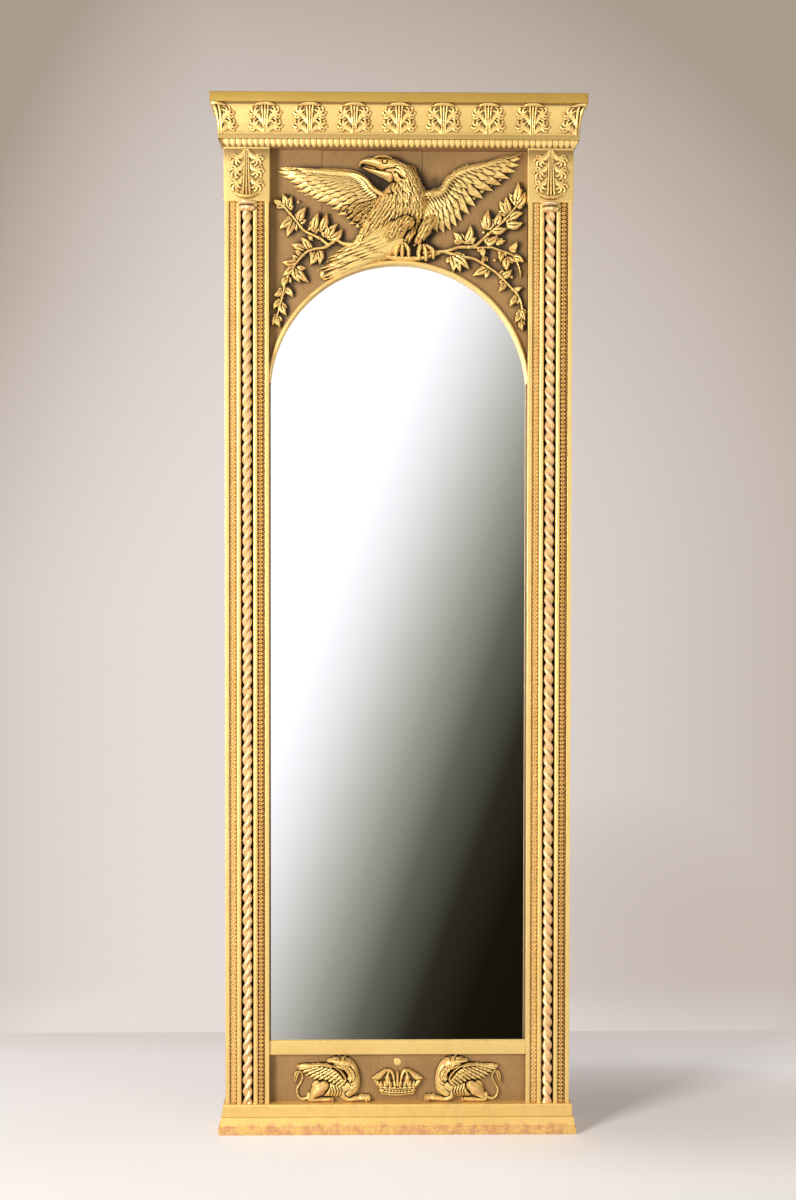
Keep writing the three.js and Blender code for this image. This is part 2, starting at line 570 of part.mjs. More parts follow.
function addCornice() {
  const slabHalf = SHAFT_HALF_SPAN + SLAB_PROUD;
  addPiece('cornice_top_board',
    board(-slabHalf, slabHalf, 0, OVERALL_DEPTH, SLAB_Z, OVERALL_HEIGHT), gold);
  const coreOutline = [
    [-SHAFT_HALF_SPAN, STILE_DEPTH],
    [-SHAFT_HALF_SPAN, FRONT_DEPTH],
    [SHAFT_HALF_SPAN, FRONT_DEPTH],
    [SHAFT_HALF_SPAN, STILE_DEPTH],
    [OPENING_HALF, STILE_DEPTH],
    [OPENING_HALF, PLATE_FRONT],
    [-OPENING_HALF, PLATE_FRONT],
    [-OPENING_HALF, STILE_DEPTH],
  ];
  addPiece('cornice_core', upright(coreOutline, CORNICE_Z, SLAB_Z), pine);

  const coveProfile = [[0, COVE_Z], ...coveFace(), [0, SLAB_Z]];
  const bedProfile = [
    [0, CORNICE_Z],
    [LEAF_TIP_FOOT_PROUD, CORNICE_Z],
    [LEAF_TIP_FOOT_PROUD + 4, CORNICE_Z + 0.35 * LEAF_TIP_HEIGHT],
    [LEAF_TIP_TOP_PROUD, CORNICE_Z + 0.8 * LEAF_TIP_HEIGHT],
    [LEAF_TIP_TOP_PROUD, CORNICE_FILLET_Z],
    [CORNICE_FILLET_PROUD, CORNICE_FILLET_Z],
    [CORNICE_FILLET_PROUD, COVE_Z],
    [0, COVE_Z],
  ];
  addPiece('cornice_cove_front', frontRun(coveProfile), gold);
  addPiece('cornice_bed_front', frontRun(bedProfile), gold);
  SIDES.forEach(([side, sign]) => {
    addPiece(`cornice_cove_${side}`, returnRun(coveProfile, sign), gold);
    addPiece(`cornice_bed_${side}`, returnRun(bedProfile, sign), gold);
  });

  const strip = [
    [COVE_FOOT_PROUD + CLEARANCE, COVE_Z],
    [COVE_FOOT_PROUD + LEAF_STRIP_PROUD, COVE_Z],
    [COVE_FOOT_PROUD + LEAF_STRIP_PROUD, COVE_Z + LEAF_STRIP],
    [COVE_FOOT_PROUD + CLEARANCE, COVE_Z + LEAF_STRIP],
  ];
  const leaves = [frontRun(strip), returnRun(strip, -1, 0), returnRun(strip, 1, 0)];
  const middleOfSide = FRONT_DEPTH / 2 - CLEARANCE;
  const frontWall = (x) => ({
    place: (offset, proud) => [x + offset, FRONT_DEPTH + proud],
    across: new THREE.Vector3(1, 0, 0),
    facing: forward,
  });
  for (let k = 0; k < COVE_LEAF_COUNT; k += 1) {
    const wall = frontWall((k - (COVE_LEAF_COUNT - 1) / 2) * COVE_LEAF_PITCH);
    leaves.push(leafMiddle(wall), ...leafLobes(wall, -1), ...leafLobes(wall, 1));
  }
  SIDES.forEach(([, sign]) => {
    const sideWall = (depth) => ({
      place: (offset, proud) => [sign * (SHAFT_HALF_SPAN + proud), depth + offset],
      across: new THREE.Vector3(0, 1, 0),
      facing: new THREE.Vector3(sign, 0, 0),
    });
    const corner = {
      place: (offset, proud) => [sign * (SHAFT_HALF_SPAN + proud), FRONT_DEPTH + proud],
      across: new THREE.Vector3(Math.SQRT1_2, sign * Math.SQRT1_2, 0),
      facing: new THREE.Vector3(sign, -1, 0),
    };
    leaves.push(leafMiddle(corner));
    leaves.push(...leafLobes(frontWall(sign * SHAFT_HALF_SPAN), -sign));
    leaves.push(...leafLobes(sideWall(FRONT_DEPTH), -1));
    const side = sideWall(middleOfSide / 2);
    leaves.push(leafMiddle(side), ...leafLobes(side, 1));
  });
  addPiece('cornice_leaf_run', toGeometry(joined(leaves)), carvedGold);
}

// ---------------------------------------------------------------- base
function addBase() {
  const steps = [
    [BASE_TOP_PROUD, BASE_HEIGHT],
    [BASE_TOP_PROUD + 1.5, BASE_HEIGHT - 6],
    [BASE_TOP_PROUD + 1.5, BASE_STEP_Z],
    [BASE_MIDDLE_PROUD, BASE_STEP_Z],
    [BASE_MIDDLE_PROUD + BASE_BATTER, BASE_FOOT_Z],
    [BASE_FOOT_PROUD, BASE_FOOT_Z],
    [BASE_FOOT_PROUD, 0],
  ];
  const lap = -4;
  const core = board(-SHAFT_HALF_SPAN, SHAFT_HALF_SPAN, STILE_DEPTH, FRONT_DEPTH, 0, BASE_HEIGHT);
  const front = frontRun([[lap, BASE_HEIGHT], ...steps, [lap, 0]]);
  addPiece('base_front', toGeometry(joined([core, front])), gold);
  SIDES.forEach(([side, sign]) => {
    addPiece(`base_${side}`, returnRun([[0, BASE_HEIGHT], ...steps, [0, 0]], sign), gold);
  });
}

// ---------------------------------------------------------------- eagle and branches
// Carving on the eagle's ground. Stations are [x, height above the arch's crown, half width,
// rise, lift]: widths in hundredths of the opening's half width, heights in hundredths of the
// panel's height, rises in hundredths of its recess. What lies below the crown, beside the
// arch, is measured like a width. `grow` thickens the carving, in millimetres.
function eagleBlade(stations, { grow = 0, ...settings } = {}) {
  const across = OPENING_HALF / 100;
  const up = EAGLE_PANEL_HEIGHT / 100;
  const deep = EAGLE_GROUND_RECESS / 100;
  const placed = stations.map(([x, height, half, rise, lift = 0]) => [
    x * across,
    EAGLE_GROUND + lift * deep,
    ARCH_CROWN_Z + height * (height > 0 ? up : across),
    half && half * across + grow,
    rise && rise * deep + grow,
  ]);
  return blade(placed, settings);
}

// Neck and breast, beak, legs and claws; `grow` thickens them to cut what meets the body.
function eagleBody(grow = 0) {
  const fat = (stations, sides = 4) => eagleBlade(stations, { grow, sides });
  return [
    fat([
      [-17.4, 87, 2.7, 92], [-12.1, 84.7, 6, 115], [-3.3, 78.2, 8.7, 131], [2.7, 67.9, 12.7, 142],
      [4, 54.6, 15.4, 154], [2, 40.1, 15.4, 146], [-1.3, 26.7, 12.1, 115], [-4.7, 17.6, 6, 62],
    ], 10),
    fat([[-15.4, 87, 3.7, 100], [-24.1, 88.2, 3.3, 92], [-30.1, 89.7, 2, 77, 15], [-33.2, 85.5, 0.7, 31, 31]]),
    fat([[-15.4, 81.7, 2.7, 85], [-22.1, 79.4, 2, 69], [-29.5, 83.2, 0.7, 38, 23]]),
    fat([[0.7, 42.7, 7.4, 131], [2, 31.3, 8, 131], [0, 21, 4.4, 92], [-0.7, 15.3, 2.3, 62]]),
    fat([[13.4, 39.7, 5.4, 100], [16.1, 29, 5.7, 100], [15.4, 19.8, 3, 69], [14.7, 13.7, 2.3, 54]]),
    fat([[-7.4, 16.8, 2.3, 46], [0, 15.3, 3, 62], [6, 9.9, 2, 46], [8, 6.1, 0.7, 23]]),
    fat([[6.7, 12.2, 2.3, 46], [15.4, 13, 3, 62], [22.1, 7.6, 2, 46], [24.1, 3.1, 0.7, 23]]),
    fat([[-0.7, 15.3, 2, 46], [-5.4, 9.9, 1.7, 35], [-6.7, 6.9, 0.7, 19]]),
    fat([[14.7, 13, 2, 46], [13.4, 6.1, 1.7, 35], [11.4, 3.1, 0.7, 19]]),
  ];
}

// A fan of feathers from a root line to a tip line, with an arm along the upper edge.
function wing({ root: rootLine, tips: tipLine, arm, featherHalf }) {
  const along = (line, t) => {
    const reach = t * (line.length - 1);
    const k = Math.min(Math.floor(reach), line.length - 2);
    const part = reach - k;
    return line[k].map((value, axis) => value * (1 - part) + line[k + 1][axis] * part);
  };
  const count = tipLine.length;
  const feathers = tipLine.map((tip, k) => {
    const root = along(rootLine, k / (count - 1));
    const at = (t) => root.map((value, axis) => value + (tip[axis] - value) * t);
    return eagleBlade([
      [...at(-0.05), featherHalf * 0.8, 35, 23],
      [...at(0.5), featherHalf, 31, 15],
      [...at(0.85), featherHalf * 0.8, 23, 12],
      [...at(1), 0, 0, 8],
    ]);
  });
  return [...feathers, eagleBlade(arm, { sides: 6 })];
}

const LEFT_WING = {
  root: [[-16.7, 45.8], [-20.8, 58], [-28.8, 70.2], [-40.9, 76.3], [-56.9, 79.4]],
  tips: [
    [-27.5, 29.8], [-34.5, 33.6], [-40.5, 39.7], [-50.2, 48.5], [-58.9, 55],
    [-71.7, 58.8], [-79.7, 63.7], [-87.1, 71.4], [-93.1, 80.2], [-94.8, 86.3],
  ],
  arm: [
    [-16.1, 57.3, 3.3, 77, 15], [-23.4, 71, 4.4, 92, 15], [-32.8, 76.3, 4.7, 85, 15], [-46.9, 79, 4, 69, 12],
    [-63.6, 80.5, 3.3, 54, 8], [-80.4, 81.7, 2.7, 38, 8], [-93.8, 84.7, 0, 0, 4],
  ],
  featherHalf: 4.7,
};
const RIGHT_WING = {
  root: [[17.4, 42], [28.1, 53.4], [37.5, 64.9], [45.5, 74.8], [58.9, 82.4]],
  tips: [
    [26.1, 28.2], [35.2, 29], [41.5, 34.4], [48.9, 42.7], [57.6, 49.2], [63, 58],
    [72.7, 67.2], [81, 73.7], [87.7, 80.5], [92.4, 88.5], [95.1, 96.2],
  ],
  arm: [
    [18.8, 57.3, 3.3, 69, 15], [28.8, 61.8, 4, 77, 15], [36.8, 67.9, 4, 77, 15], [44.2, 77.5, 4, 69, 15],
    [54.9, 84, 3.7, 62, 12], [69, 87.8, 3, 46, 8], [83.7, 92.4, 2, 31, 8], [95.1, 97.3, 0, 0, 4],
  ],
  featherHalf: 4.4,
};

function addEagle() {
  const space = panelSpace(EAGLE_GROUND, ARCH_SPRING_Z, CORNICE_Z - CLEARANCE);
  const archDisc = new THREE.Shape().absarc(0, ARCH_SPRING_Z, ARCH_OUTER_RADIUS + CLEARANCE, 0, 2 * Math.PI);
  const archCut = elevation(archDisc, PLATE_FRONT, OVERALL_DEPTH + CLEARANCE, 48);
  const fit = (solid) => cutBy(solid.intersect(space), [archCut]);
  const bodyTool = joined(eagleBody(CLEARANCE * 1.5));
  const addCarving = (name, geometries, tools) => {
    const solid = tools.reduce((left, tool) => left.subtract(tool), fit(joined(geometries)));
    addPiece(name, toGeometry(solid), carvedGold);
  };
  addCarving('eagle_body', eagleBody(), []);
  const leftWing = wing(LEFT_WING);
  const rightWing = wing(RIGHT_WING);
  addCarving('eagle_wing_left', leftWing, [bodyTool]);
  addCarving('eagle_wing_right', rightWing, [bodyTool]);
  const tail = [
    [[-6.7, 22.1, 4, 54, 12], [-30.1, 13, 5.7, 46, 8], [-50.2, 2.3, 5.4, 35, 8], [-63.6, -6.7, 1.3, 15, 4]],
    [[-8, 25.2, 3.3, 46, 8], [-36.8, 17.6, 4, 35, 8], [-53.6, 8.4, 3, 27, 4], [-59.6, 0.8, 1, 12, 4]],
    [[-5.4, 19.1, 3.3, 38, 8], [-26.8, 6.9, 4, 35, 8], [-44.2, -3.3, 2.7, 27, 4], [-53.6, -9.4, 1, 12, 4]],
  ].map((stations) => eagleBlade(stations));
  addCarving('eagle_tail', tail, [bodyTool]);

  const stem = (points, half = 1.2) => eagleBlade(points.map(([x, height]) => [
    x, height, half, half * 18, 6]));
  const leaf = ([x, height], [tipX, tipHeight], half = 2.5) => {
    const at = (t) => [x + (tipX - x) * t, height + (tipHeight - height) * t];
    return eagleBlade([
      [...at(-0.08), 0.7, 15, 6], [...at(0.35), half, 23, 12],
      [...at(0.7), half * 0.75, 19, 12], [...at(1), 0, 0, 10],
    ]);
  };
  const rightBranch = [
    stem([
      [23.4, 10.3], [37.5, 9.5], [46.6, 14.5], [58.3, 15.6], [68, 24.8],
      [77.7, 34.4], [85.1, 42.7], [91.8, 53.1], [95.1, 64.1],
    ]),
    stem([[37.5, 9.9], [49.6, 5.7], [58.9, 4.6], [69, -2], [80.7, -11.4], [91.1, -23.4], [96.1, -36.2], [95.1, -45.2]]),
    stem([[56.9, 15.3], [71.7, 14.9], [85.1, 10.3], [90.4, 6.5], [94.1, -9]], 0.9),
    leaf([47.9, 14.5], [42.9, 27.5]), leaf([52.6, 14.9], [55.6, 34.4], 3), leaf([57.6, 15.6], [61.6, 25.2]),
    leaf([69.3, 28.6], [69.7, 48.1], 3), leaf([74.3, 32.1], [78.4, 45.8]), leaf([84.4, 44.3], [77.7, 56.5]),
    leaf([85.7, 45.8], [83.7, 59.2], 2.7), leaf([90.4, 53.4], [92.4, 72.1], 2.7),
    leaf([91.1, 51.1], [98.5, 63.4]),
    leaf([84.4, 41.2], [97.1, 45], 2.7), leaf([79.7, 36.3], [97.8, 36.6], 2.7),
    leaf([68, 23.7], [77.7, 26.7], 3),
    leaf([40.5, 8.4], [55.3, -4], 3), leaf([40.9, 7.6], [42.5, -6], 2.3),
    leaf([45.2, 4.6], [50.2, -8], 2.3),
    leaf([69, -0.7], [61.6, -8.7], 2.7), leaf([86.4, 9.2], [92.4, 21.4], 2.7),
    leaf([87.7, 8.4], [97.1, 2.3], 2.7),
    leaf([80.4, -12.1], [71.7, -14.7], 2.7), leaf([92.4, -28.1], [87.7, -37.5], 2.7),
    leaf([95.1, -37.5], [97.8, -50.2], 2.3),
  ];
  const leftBranch = [
    stem([
      [-36.8, 16.8], [-48.2, 20.6], [-54.3, 17.6], [-61, 22.1], [-71.7, 27.9],
      [-77, 34], [-81.7, 40.8], [-87.7, 49.6], [-92.4, 55.7],
    ]),
    stem([
      [-50.2, 19.1], [-63.6, 13], [-71, 10.7], [-76.4, 5],
      [-83.7, -4.7], [-88.4, -13.4], [-89.8, -24.8], [-95.1, -42.2],
    ]),
    leaf([-90.4, 52.7], [-97.8, 58], 2.3), leaf([-88.4, 51.1], [-90.4, 64.1], 2.7),
    leaf([-82.4, 42.7], [-80.4, 57.3], 2.3),
    leaf([-77.7, 35.1], [-75.7, 50.4], 2.7), leaf([-79.7, 37.4], [-92.4, 36.6], 2.7),
    leaf([-74.3, 30.5], [-87.7, 30.5], 2.7),
    leaf([-64.3, 24.4], [-64.3, 42.7], 3), leaf([-59.6, 22.1], [-57.6, 42.7], 2.7),
    leaf([-71.7, 28.2], [-68.3, 39.7], 2.3),
    leaf([-53.6, 18.3], [-50.2, 36.6], 2.7), leaf([-77, 4.6], [-87.7, 7.6], 2.7),
    leaf([-84.4, -6], [-94.4, -7.4], 2.7),
    leaf([-79, 1.5], [-74.3, -8.7], 2.7), leaf([-89.1, -19.4], [-97.1, -20.8], 2.7),
    leaf([-89.1, -14.7], [-82.4, -23.4], 2.7),
    leaf([-93.8, -36.2], [-97.1, -50.2], 2.3),
  ];
  addCarving('branch_right', rightBranch, [bodyTool, joined(rightWing)]);
  addCarving('branch_left', leftBranch, [bodyTool, joined(leftWing), joined(tail)]);
}

// ---------------------------------------------------------------- griffins and crown
// Carving on the griffins' ground. Stations are [x, height above the base, half width, rise]:
// x in hundredths of the opening's half width, heights and half widths in hundredths of the
// panel's height, rises in hundredths of its recess.
function griffinBlade(sign, stations, settings = {}) {
  const across = OPENING_HALF / 100;
  const up = (SIGHT_RAIL_FOOT - BASE_HEIGHT) / 100;
  const deep = GRIFFIN_GROUND_RECESS / 100;
  const placed = stations.map(([x, height, half, rise]) => [
    sign * x * across, GRIFFIN_GROUND, BASE_HEIGHT + height * up, half * up, rise * deep]);
  return blade(placed, settings);
}

function addGriffins() {
  const space = panelSpace(GRIFFIN_GROUND, BASE_HEIGHT, SIGHT_RAIL_FOOT);
  SIDES.forEach(([side, sign]) => {
    const beast = [
      [
        [70.3, 19.4, 5.3, 30], [65.6, 26.5, 16.8, 60], [57.6, 29.2, 15, 60], [47.6, 30, 17.7, 70],
        [38.8, 35.3, 17.7, 70], [35.5, 58.3, 14.1, 65], [38.2, 77.7, 12.4, 65], [43.5, 86.6, 10.6, 60],
        [48.9, 86.6, 8.8, 60], [53.6, 83.9, 7.1, 50], [57.3, 83, 3.5, 30],
      ],
      [[63.6, 31.8, 12.4, 70], [66.3, 17.7, 8.8, 60], [69, 6.2, 5.3, 40]],
      [[69, 5.3, 4.4, 40], [61.6, 4.4, 4.4, 40], [55.6, 5.3, 5.3, 45], [52.2, 4.4, 3.5, 30]],
      [
        [39.5, 24.7, 10.6, 70], [40.9, 10.6, 7.1, 50], [36.2, 7.1, 5.3, 45],
        [28.1, 9.7, 5.3, 45], [24.1, 8.8, 4.4, 35],
      ],
      [
        [44.2, 47.7, 8.8, 70], [50.2, 58.3, 15, 70], [60.3, 63.6, 15, 55],
        [71, 65.4, 9.7, 45], [81.4, 76.9, 0, 0],
      ],
      [
        [68.3, 10.6, 3.5, 25], [73, 5.3, 3.1, 25], [77.7, 5.3, 3.1, 25],
        [80.7, 17.7, 3.1, 25], [80, 33.6, 3.1, 25], [81.4, 42.4, 3.1, 25],
      ],
      [[81.7, 38.9, 2.7, 20], [82, 49.5, 5.3, 25], [80.4, 60.1, 4.4, 20], [78.4, 68.9, 0, 0]],
      [[45.5, 90.1, 4.4, 40], [46.2, 98.9, 0, 0]],
    ].map((stations) => griffinBlade(sign, stations, { sides: 6 }));
    addPiece(`griffin_${side}`, toGeometry(joined(beast).intersect(space)), carvedGold);
  });
  const ribs = [-1, 1].flatMap((hand) => [
    griffinBlade(hand, [[10, 17.7, 4.4, 35], [14.7, 30, 4.4, 35], [19.1, 47.7, 2.7, 25]]),
    griffinBlade(hand, [
      [19.1, 47.7, 3.5, 30], [12.7, 60.1, 3.5, 35], [6.7, 68, 3.5, 35], [3, 54.8, 3.5, 35], [1.5, 26.5, 2.7, 30],
    ]),
    griffinBlade(hand, [[6.7, 67.1, 2.7, 30], [8.7, 44.2, 2.7, 30], [8.4, 19.4, 3.5, 30]]),
  ]);
  const crown = [
    griffinBlade(1, [[-13.4, 17.7, 5.3, 40], [0, 19.4, 7.1, 55], [13.4, 17.7, 5.3, 40]], { sides: 8 }),
    griffinBlade(1, [[0.1, 15, 5.3, 45], [0.1, 52.1, 2.8, 32]]),
    ...ribs,
  ];
  addPiece('crown', toGeometry(joined(crown).intersect(space)), carvedGold);
}

// ---------------------------------------------------------------- hanging rings
function addHangers() {
  const boreRadius = HANGER_WIRE_RADIUS + RING_CLEARANCE;
  const knuckleRadius = boreRadius + HANGER_KNUCKLE_WALL;
  SIDES.forEach(([side, sign]) => {
    const x = sign * HANGER_SPAN;
    const plate = board(x - HANGER_PLATE_WIDTH / 2, x + HANGER_PLATE_WIDTH / 2,
      RAIL_BACK - HANGER_PLATE_THICKNESS, RAIL_BACK,
      HANGER_RING_Z - HANGER_PLATE_HEIGHT / 2, HANGER_RING_Z + HANGER_PLATE_HEIGHT / 2);
    const across = (radius, width) => new THREE.CylinderGeometry(radius, radius, width, 16)
      .rotateZ(Math.PI / 2).translate(x, -RING_DEPTH, HANGER_RING_Z);
    const cheek = board(x - HANGER_KNUCKLE_WIDTH / 2, x + HANGER_KNUCKLE_WIDTH / 2,
      RING_DEPTH, RAIL_BACK - HANGER_PLATE_THICKNESS / 2,
      HANGER_RING_Z - knuckleRadius, HANGER_RING_Z + knuckleRadius);
    const solid = cutBy(joined([plate, across(knuckleRadius, HANGER_KNUCKLE_WIDTH), cheek]),
      [across(boreRadius, HANGER_KNUCKLE_WIDTH + 2)]);
    addPiece(`hanger_plate_${side}`, toGeometry(solid), iron);
    const wire = Array.from({ length: 7 }, (_, k) => {
      const angle = (2 * Math.PI * k) / 6;
      const out = HANGER_RING_RADIUS + HANGER_WIRE_RADIUS * Math.cos(angle);
      return new THREE.Vector2(out, HANGER_WIRE_RADIUS * Math.sin(angle));
    });
    const ring = new THREE.LatheGeometry(wire, 18);
    ring.translate(x, -RING_DEPTH, HANGER_RING_Z - HANGER_RING_RADIUS);
    addPiece(`hanger_ring_${side}`, ring, iron);
  });
}

addCarcass();
addPanels();
addPilasters();
addCornice();
addBase();
addEagle();
addGriffins();
addHangers();

export default mirror;
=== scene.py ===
"""Dresses a tall gilded pier mirror: carved and gilt surfaces, an old silvered plate and a plain studio.

Lengths are millimetres until a mesh is written. Across is +X, up is +Z, and a depth is measured forward
from the back plane, towards -Y.
"""

import logging
import math
from dataclasses import dataclass, field
from enum import Enum
from typing import Any, Callable, Sequence

import bpy
import numpy as np
from mathutils import Euler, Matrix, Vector


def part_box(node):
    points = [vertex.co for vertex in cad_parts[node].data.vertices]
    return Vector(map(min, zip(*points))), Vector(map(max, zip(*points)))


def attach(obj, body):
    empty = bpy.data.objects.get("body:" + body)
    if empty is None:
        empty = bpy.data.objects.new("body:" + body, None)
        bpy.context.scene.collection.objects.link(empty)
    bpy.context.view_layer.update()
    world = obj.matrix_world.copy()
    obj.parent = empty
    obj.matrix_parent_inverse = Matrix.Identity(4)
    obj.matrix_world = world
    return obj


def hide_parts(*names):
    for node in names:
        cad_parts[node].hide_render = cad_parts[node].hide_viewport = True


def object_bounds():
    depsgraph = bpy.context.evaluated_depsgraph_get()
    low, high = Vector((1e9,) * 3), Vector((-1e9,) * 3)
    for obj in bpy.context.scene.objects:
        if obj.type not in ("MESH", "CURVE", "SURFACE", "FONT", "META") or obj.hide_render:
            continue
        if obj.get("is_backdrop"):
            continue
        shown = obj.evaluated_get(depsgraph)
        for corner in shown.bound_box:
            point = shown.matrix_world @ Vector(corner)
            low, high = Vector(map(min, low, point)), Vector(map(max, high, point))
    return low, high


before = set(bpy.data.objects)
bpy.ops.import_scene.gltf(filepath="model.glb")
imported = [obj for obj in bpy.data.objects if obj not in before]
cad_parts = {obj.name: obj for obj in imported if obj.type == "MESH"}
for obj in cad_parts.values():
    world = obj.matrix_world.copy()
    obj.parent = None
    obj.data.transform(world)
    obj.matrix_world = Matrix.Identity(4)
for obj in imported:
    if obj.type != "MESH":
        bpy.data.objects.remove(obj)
CAD_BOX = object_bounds()

logging.basicConfig(level=logging.INFO, format="%(message)s")
log = logging.getLogger("pier_mirror")

MM = 0.001
BACK_Y = CAD_BOX[1].y / MM
SIDE_SHARE = 0.49
BODY = "mirror_frame"
SIDES = (("left", -1), ("right", 1))
Grid = np.ndarray
Colour = tuple[float, float, float]


def node_range(node: str, axis: int) -> tuple[float, float]:
    """Lowest and highest place of a CAD node along an axis in millimetres, a depth forward from the back."""
    low, high = (corner[axis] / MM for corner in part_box(node))
    return (BACK_Y - high, BACK_Y - low) if axis == 1 else (low, high)


# ---------------------------------------------------------------- meshes
@dataclass
class Surface:
    """Points, faces and one signed relief value per point: +1 on a crest, -1 in a hollow, where the finishes
    paint shade.
    """

    points: Grid
    faces: list[Grid]
    relief: Grid

    @staticmethod
    def joined(parts: Sequence["Surface"]) -> "Surface":
        """One surface that holds several, each still closed by itself.

        Args:
            parts: The surfaces to put together.

        Returns:
            The joined surface.
        """
        starts = np.cumsum([0] + [len(part.points) for part in parts])
        faces = [face + start for part, start in zip(parts, starts) for face in part.faces]
        return Surface(
            np.concatenate([part.points for part in parts]),
            faces,
            np.concatenate([part.relief for part in parts]),
        )


def place(x: Grid, depth: Grid, z: Grid) -> Grid:
    """Points of the frame from places across, forward and up, as one array with a last axis of three."""
    x, depth, z = np.broadcast_arrays(x, depth, z)
    return np.stack([x, BACK_Y - depth, z], axis=-1)


def lattice(rows: int, columns: int, wrap: bool = False) -> Grid:
    """Quads of a grid of points numbered row by row.

    Args:
        rows: Points along the first way.
        columns: Points along the second way.
        wrap: Whether the last column meets the first.

    Returns:
        An array of four point numbers per face: (row, column), (row, column + 1), (row + 1, column + 1) and
        (row + 1, column).
    """
    span = columns if wrap else columns - 1
    row, column = np.meshgrid(np.arange(rows - 1), np.arange(span), indexing="ij")
    after = (column + 1) % columns
    corners = [row * columns + column, row * columns + after]
    corners += [(row + 1) * columns + after, (row + 1) * columns + column]
    return np.stack([corner.ravel() for corner in corners], axis=-1)


def swept(points: Grid, relief: Grid) -> Surface:
    """A closed bar from rings of points: walls between rings and a flat face on each end.

    Args:
        points: Rings by ring points by three.
        relief: One value per ring point.

    Returns:
        The closed surface, turned so that its volume is positive.
    """
    rings, count = points.shape[:2]
    ends = [np.arange(count)[::-1][None], (np.arange(count) + (rings - 1) * count)[None]]
    surface = Surface(
        points.reshape(-1, 3), [lattice(rings, count, wrap=True), *ends],
        np.broadcast_to(relief, (rings, count)).ravel()
    )
    return outward(surface)


def outward(surface: Surface) -> Surface:
    """Turns every face round when the volume, a sum of triple products of the corners, is negative.

    Args:
        surface: A closed surface.

    Returns:
        The same surface with its faces outwards.
    """
    volume = 0.0
    centre = surface.points.mean(axis=0)
    for face in surface.faces:
        corners = surface.points[face] - centre
        for k in range(1, face.shape[1] - 1):
            cross = np.cross(corners[:, k], corners[:, k + 1])
            volume += float((corners[:, 0] * cross).sum())
    if volume < 0:
        surface.faces = [face[:, ::-1] for face in surface.faces]
    return surface


def write_mesh(name: str, surface: Surface, sharp_angle: float = 38.0) -> bpy.types.Object:
    """A mesh object in metres with smooth shading, edges kept sharp past an angle and the relief attribute.

    Args:
        name: The object's name.
        surface: Points in millimetres, faces and relief.
        sharp_angle: Degrees between faces past which an edge is sharp.

    Returns:
        The object, linked to the scene.
    """
    mesh = bpy.data.meshes.new(name)
    mesh.vertices.add(len(surface.points))
    mesh.vertices.foreach_set("co", (surface.points * MM).astype(np.float32).ravel())
    corners = np.concatenate([face.ravel() for face in surface.faces])
    totals = np.concatenate([np.full(len(face), face.shape[1]) for face in surface.faces])
    mesh.loops.add(len(corners))
    mesh.loops.foreach_set("vertex_index", corners.astype(np.int32))
    mesh.polygons.add(len(totals))
    mesh.polygons.foreach_set("loop_start", (np.cumsum(totals) - totals).astype(np.int32))
    mesh.polygons.foreach_set("loop_total", totals.astype(np.int32))
    mesh.polygons.foreach_set("use_smooth", np.ones(len(totals), bool))
    attribute = mesh.attributes.new("relief", "FLOAT", "POINT")
    attribute.data.foreach_set("value", surface.relief.astype(np.float32))
    mesh.update(calc_edges=True)
    mesh.validate()
    mesh.set_sharp_from_angle(angle=math.radians(sharp_angle))
    obj = bpy.data.objects.new(name, mesh)
    bpy.context.scene.collection.objects.link(obj)
    return obj


def add_piece(
    name: str,
    surface: Surface,
    material: bpy.types.Material,
    nodes: Sequence[str],
    sharp_angle: float = 38.0,
) -> bpy.types.Object:
    """Writes a piece, dresses it, lets it ride on the frame and stand for its CAD nodes.

    Args:
        name: The piece's name.
        surface: Its shape.
        material: Its finish.
        nodes: The CAD nodes that it stands for.
        sharp_angle: Degrees past which an edge is sharp.

    Returns:
        The piece.
    """
    piece = write_mesh(name, surface, sharp_angle)
    piece.data.materials.append(material)
    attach(piece, BODY)
    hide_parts(*nodes)
    log.info("%s: %d points for %s", name, len(surface.points), ", ".join(nodes))
    return piece


# ---------------------------------------------------------------- profiles
def rounded(corners: Sequence[Sequence[float]], arc_points: int = 4) -> tuple[Grid, Grid]:
    """Rounds the corners of a closed outline.

    Each corner with a radius becomes the curve (1-t)^2 a + 2t(1-t) corner + t^2 b, where a and b lie one
    radius from the corner along its two sides, or just short of a side's middle where that is nearer.

    Args:
        corners: Points of (first, second, radius).
        arc_points: Points in each rounded corner.

    Returns:
        The outline's points and their relief: +1 on an outer corner, -1 in an inner one, 0 on flats.
    """
    outline = np.array([corner[:2] for corner in corners], float)
    radii = np.array([corner[2] if len(corner) > 2 else 0.0 for corner in corners])
    before, after = np.roll(outline, 1, axis=0), np.roll(outline, -1, axis=0)
    area = np.sum(outline[:, 0] * after[:, 1] - outline[:, 1] * after[:, 0])
    turn = np.cross(outline - before, after - outline) * np.sign(area)
    points, relief = [], []
    for k, corner in enumerate(outline):
        if radii[k] == 0:
            points.append(corner[None])
            relief.append(np.zeros(1))
            continue
        legs = np.array([before[k] - corner, after[k] - corner])
        lengths = np.linalg.norm(legs, axis=1, keepdims=True)
        ends = corner + legs / lengths * np.minimum(radii[k], lengths * SIDE_SHARE)
        t = np.linspace(0, 1, arc_points)[:, None]
        points.append((1 - t) ** 2 * ends[0] + 2 * t * (1 - t) * corner + t**2 * ends[1])
        relief.append(np.sign(turn[k]) * np.sin(np.pi * np.linspace(0, 1, arc_points)))
    return np.concatenate(points), np.concatenate(relief)


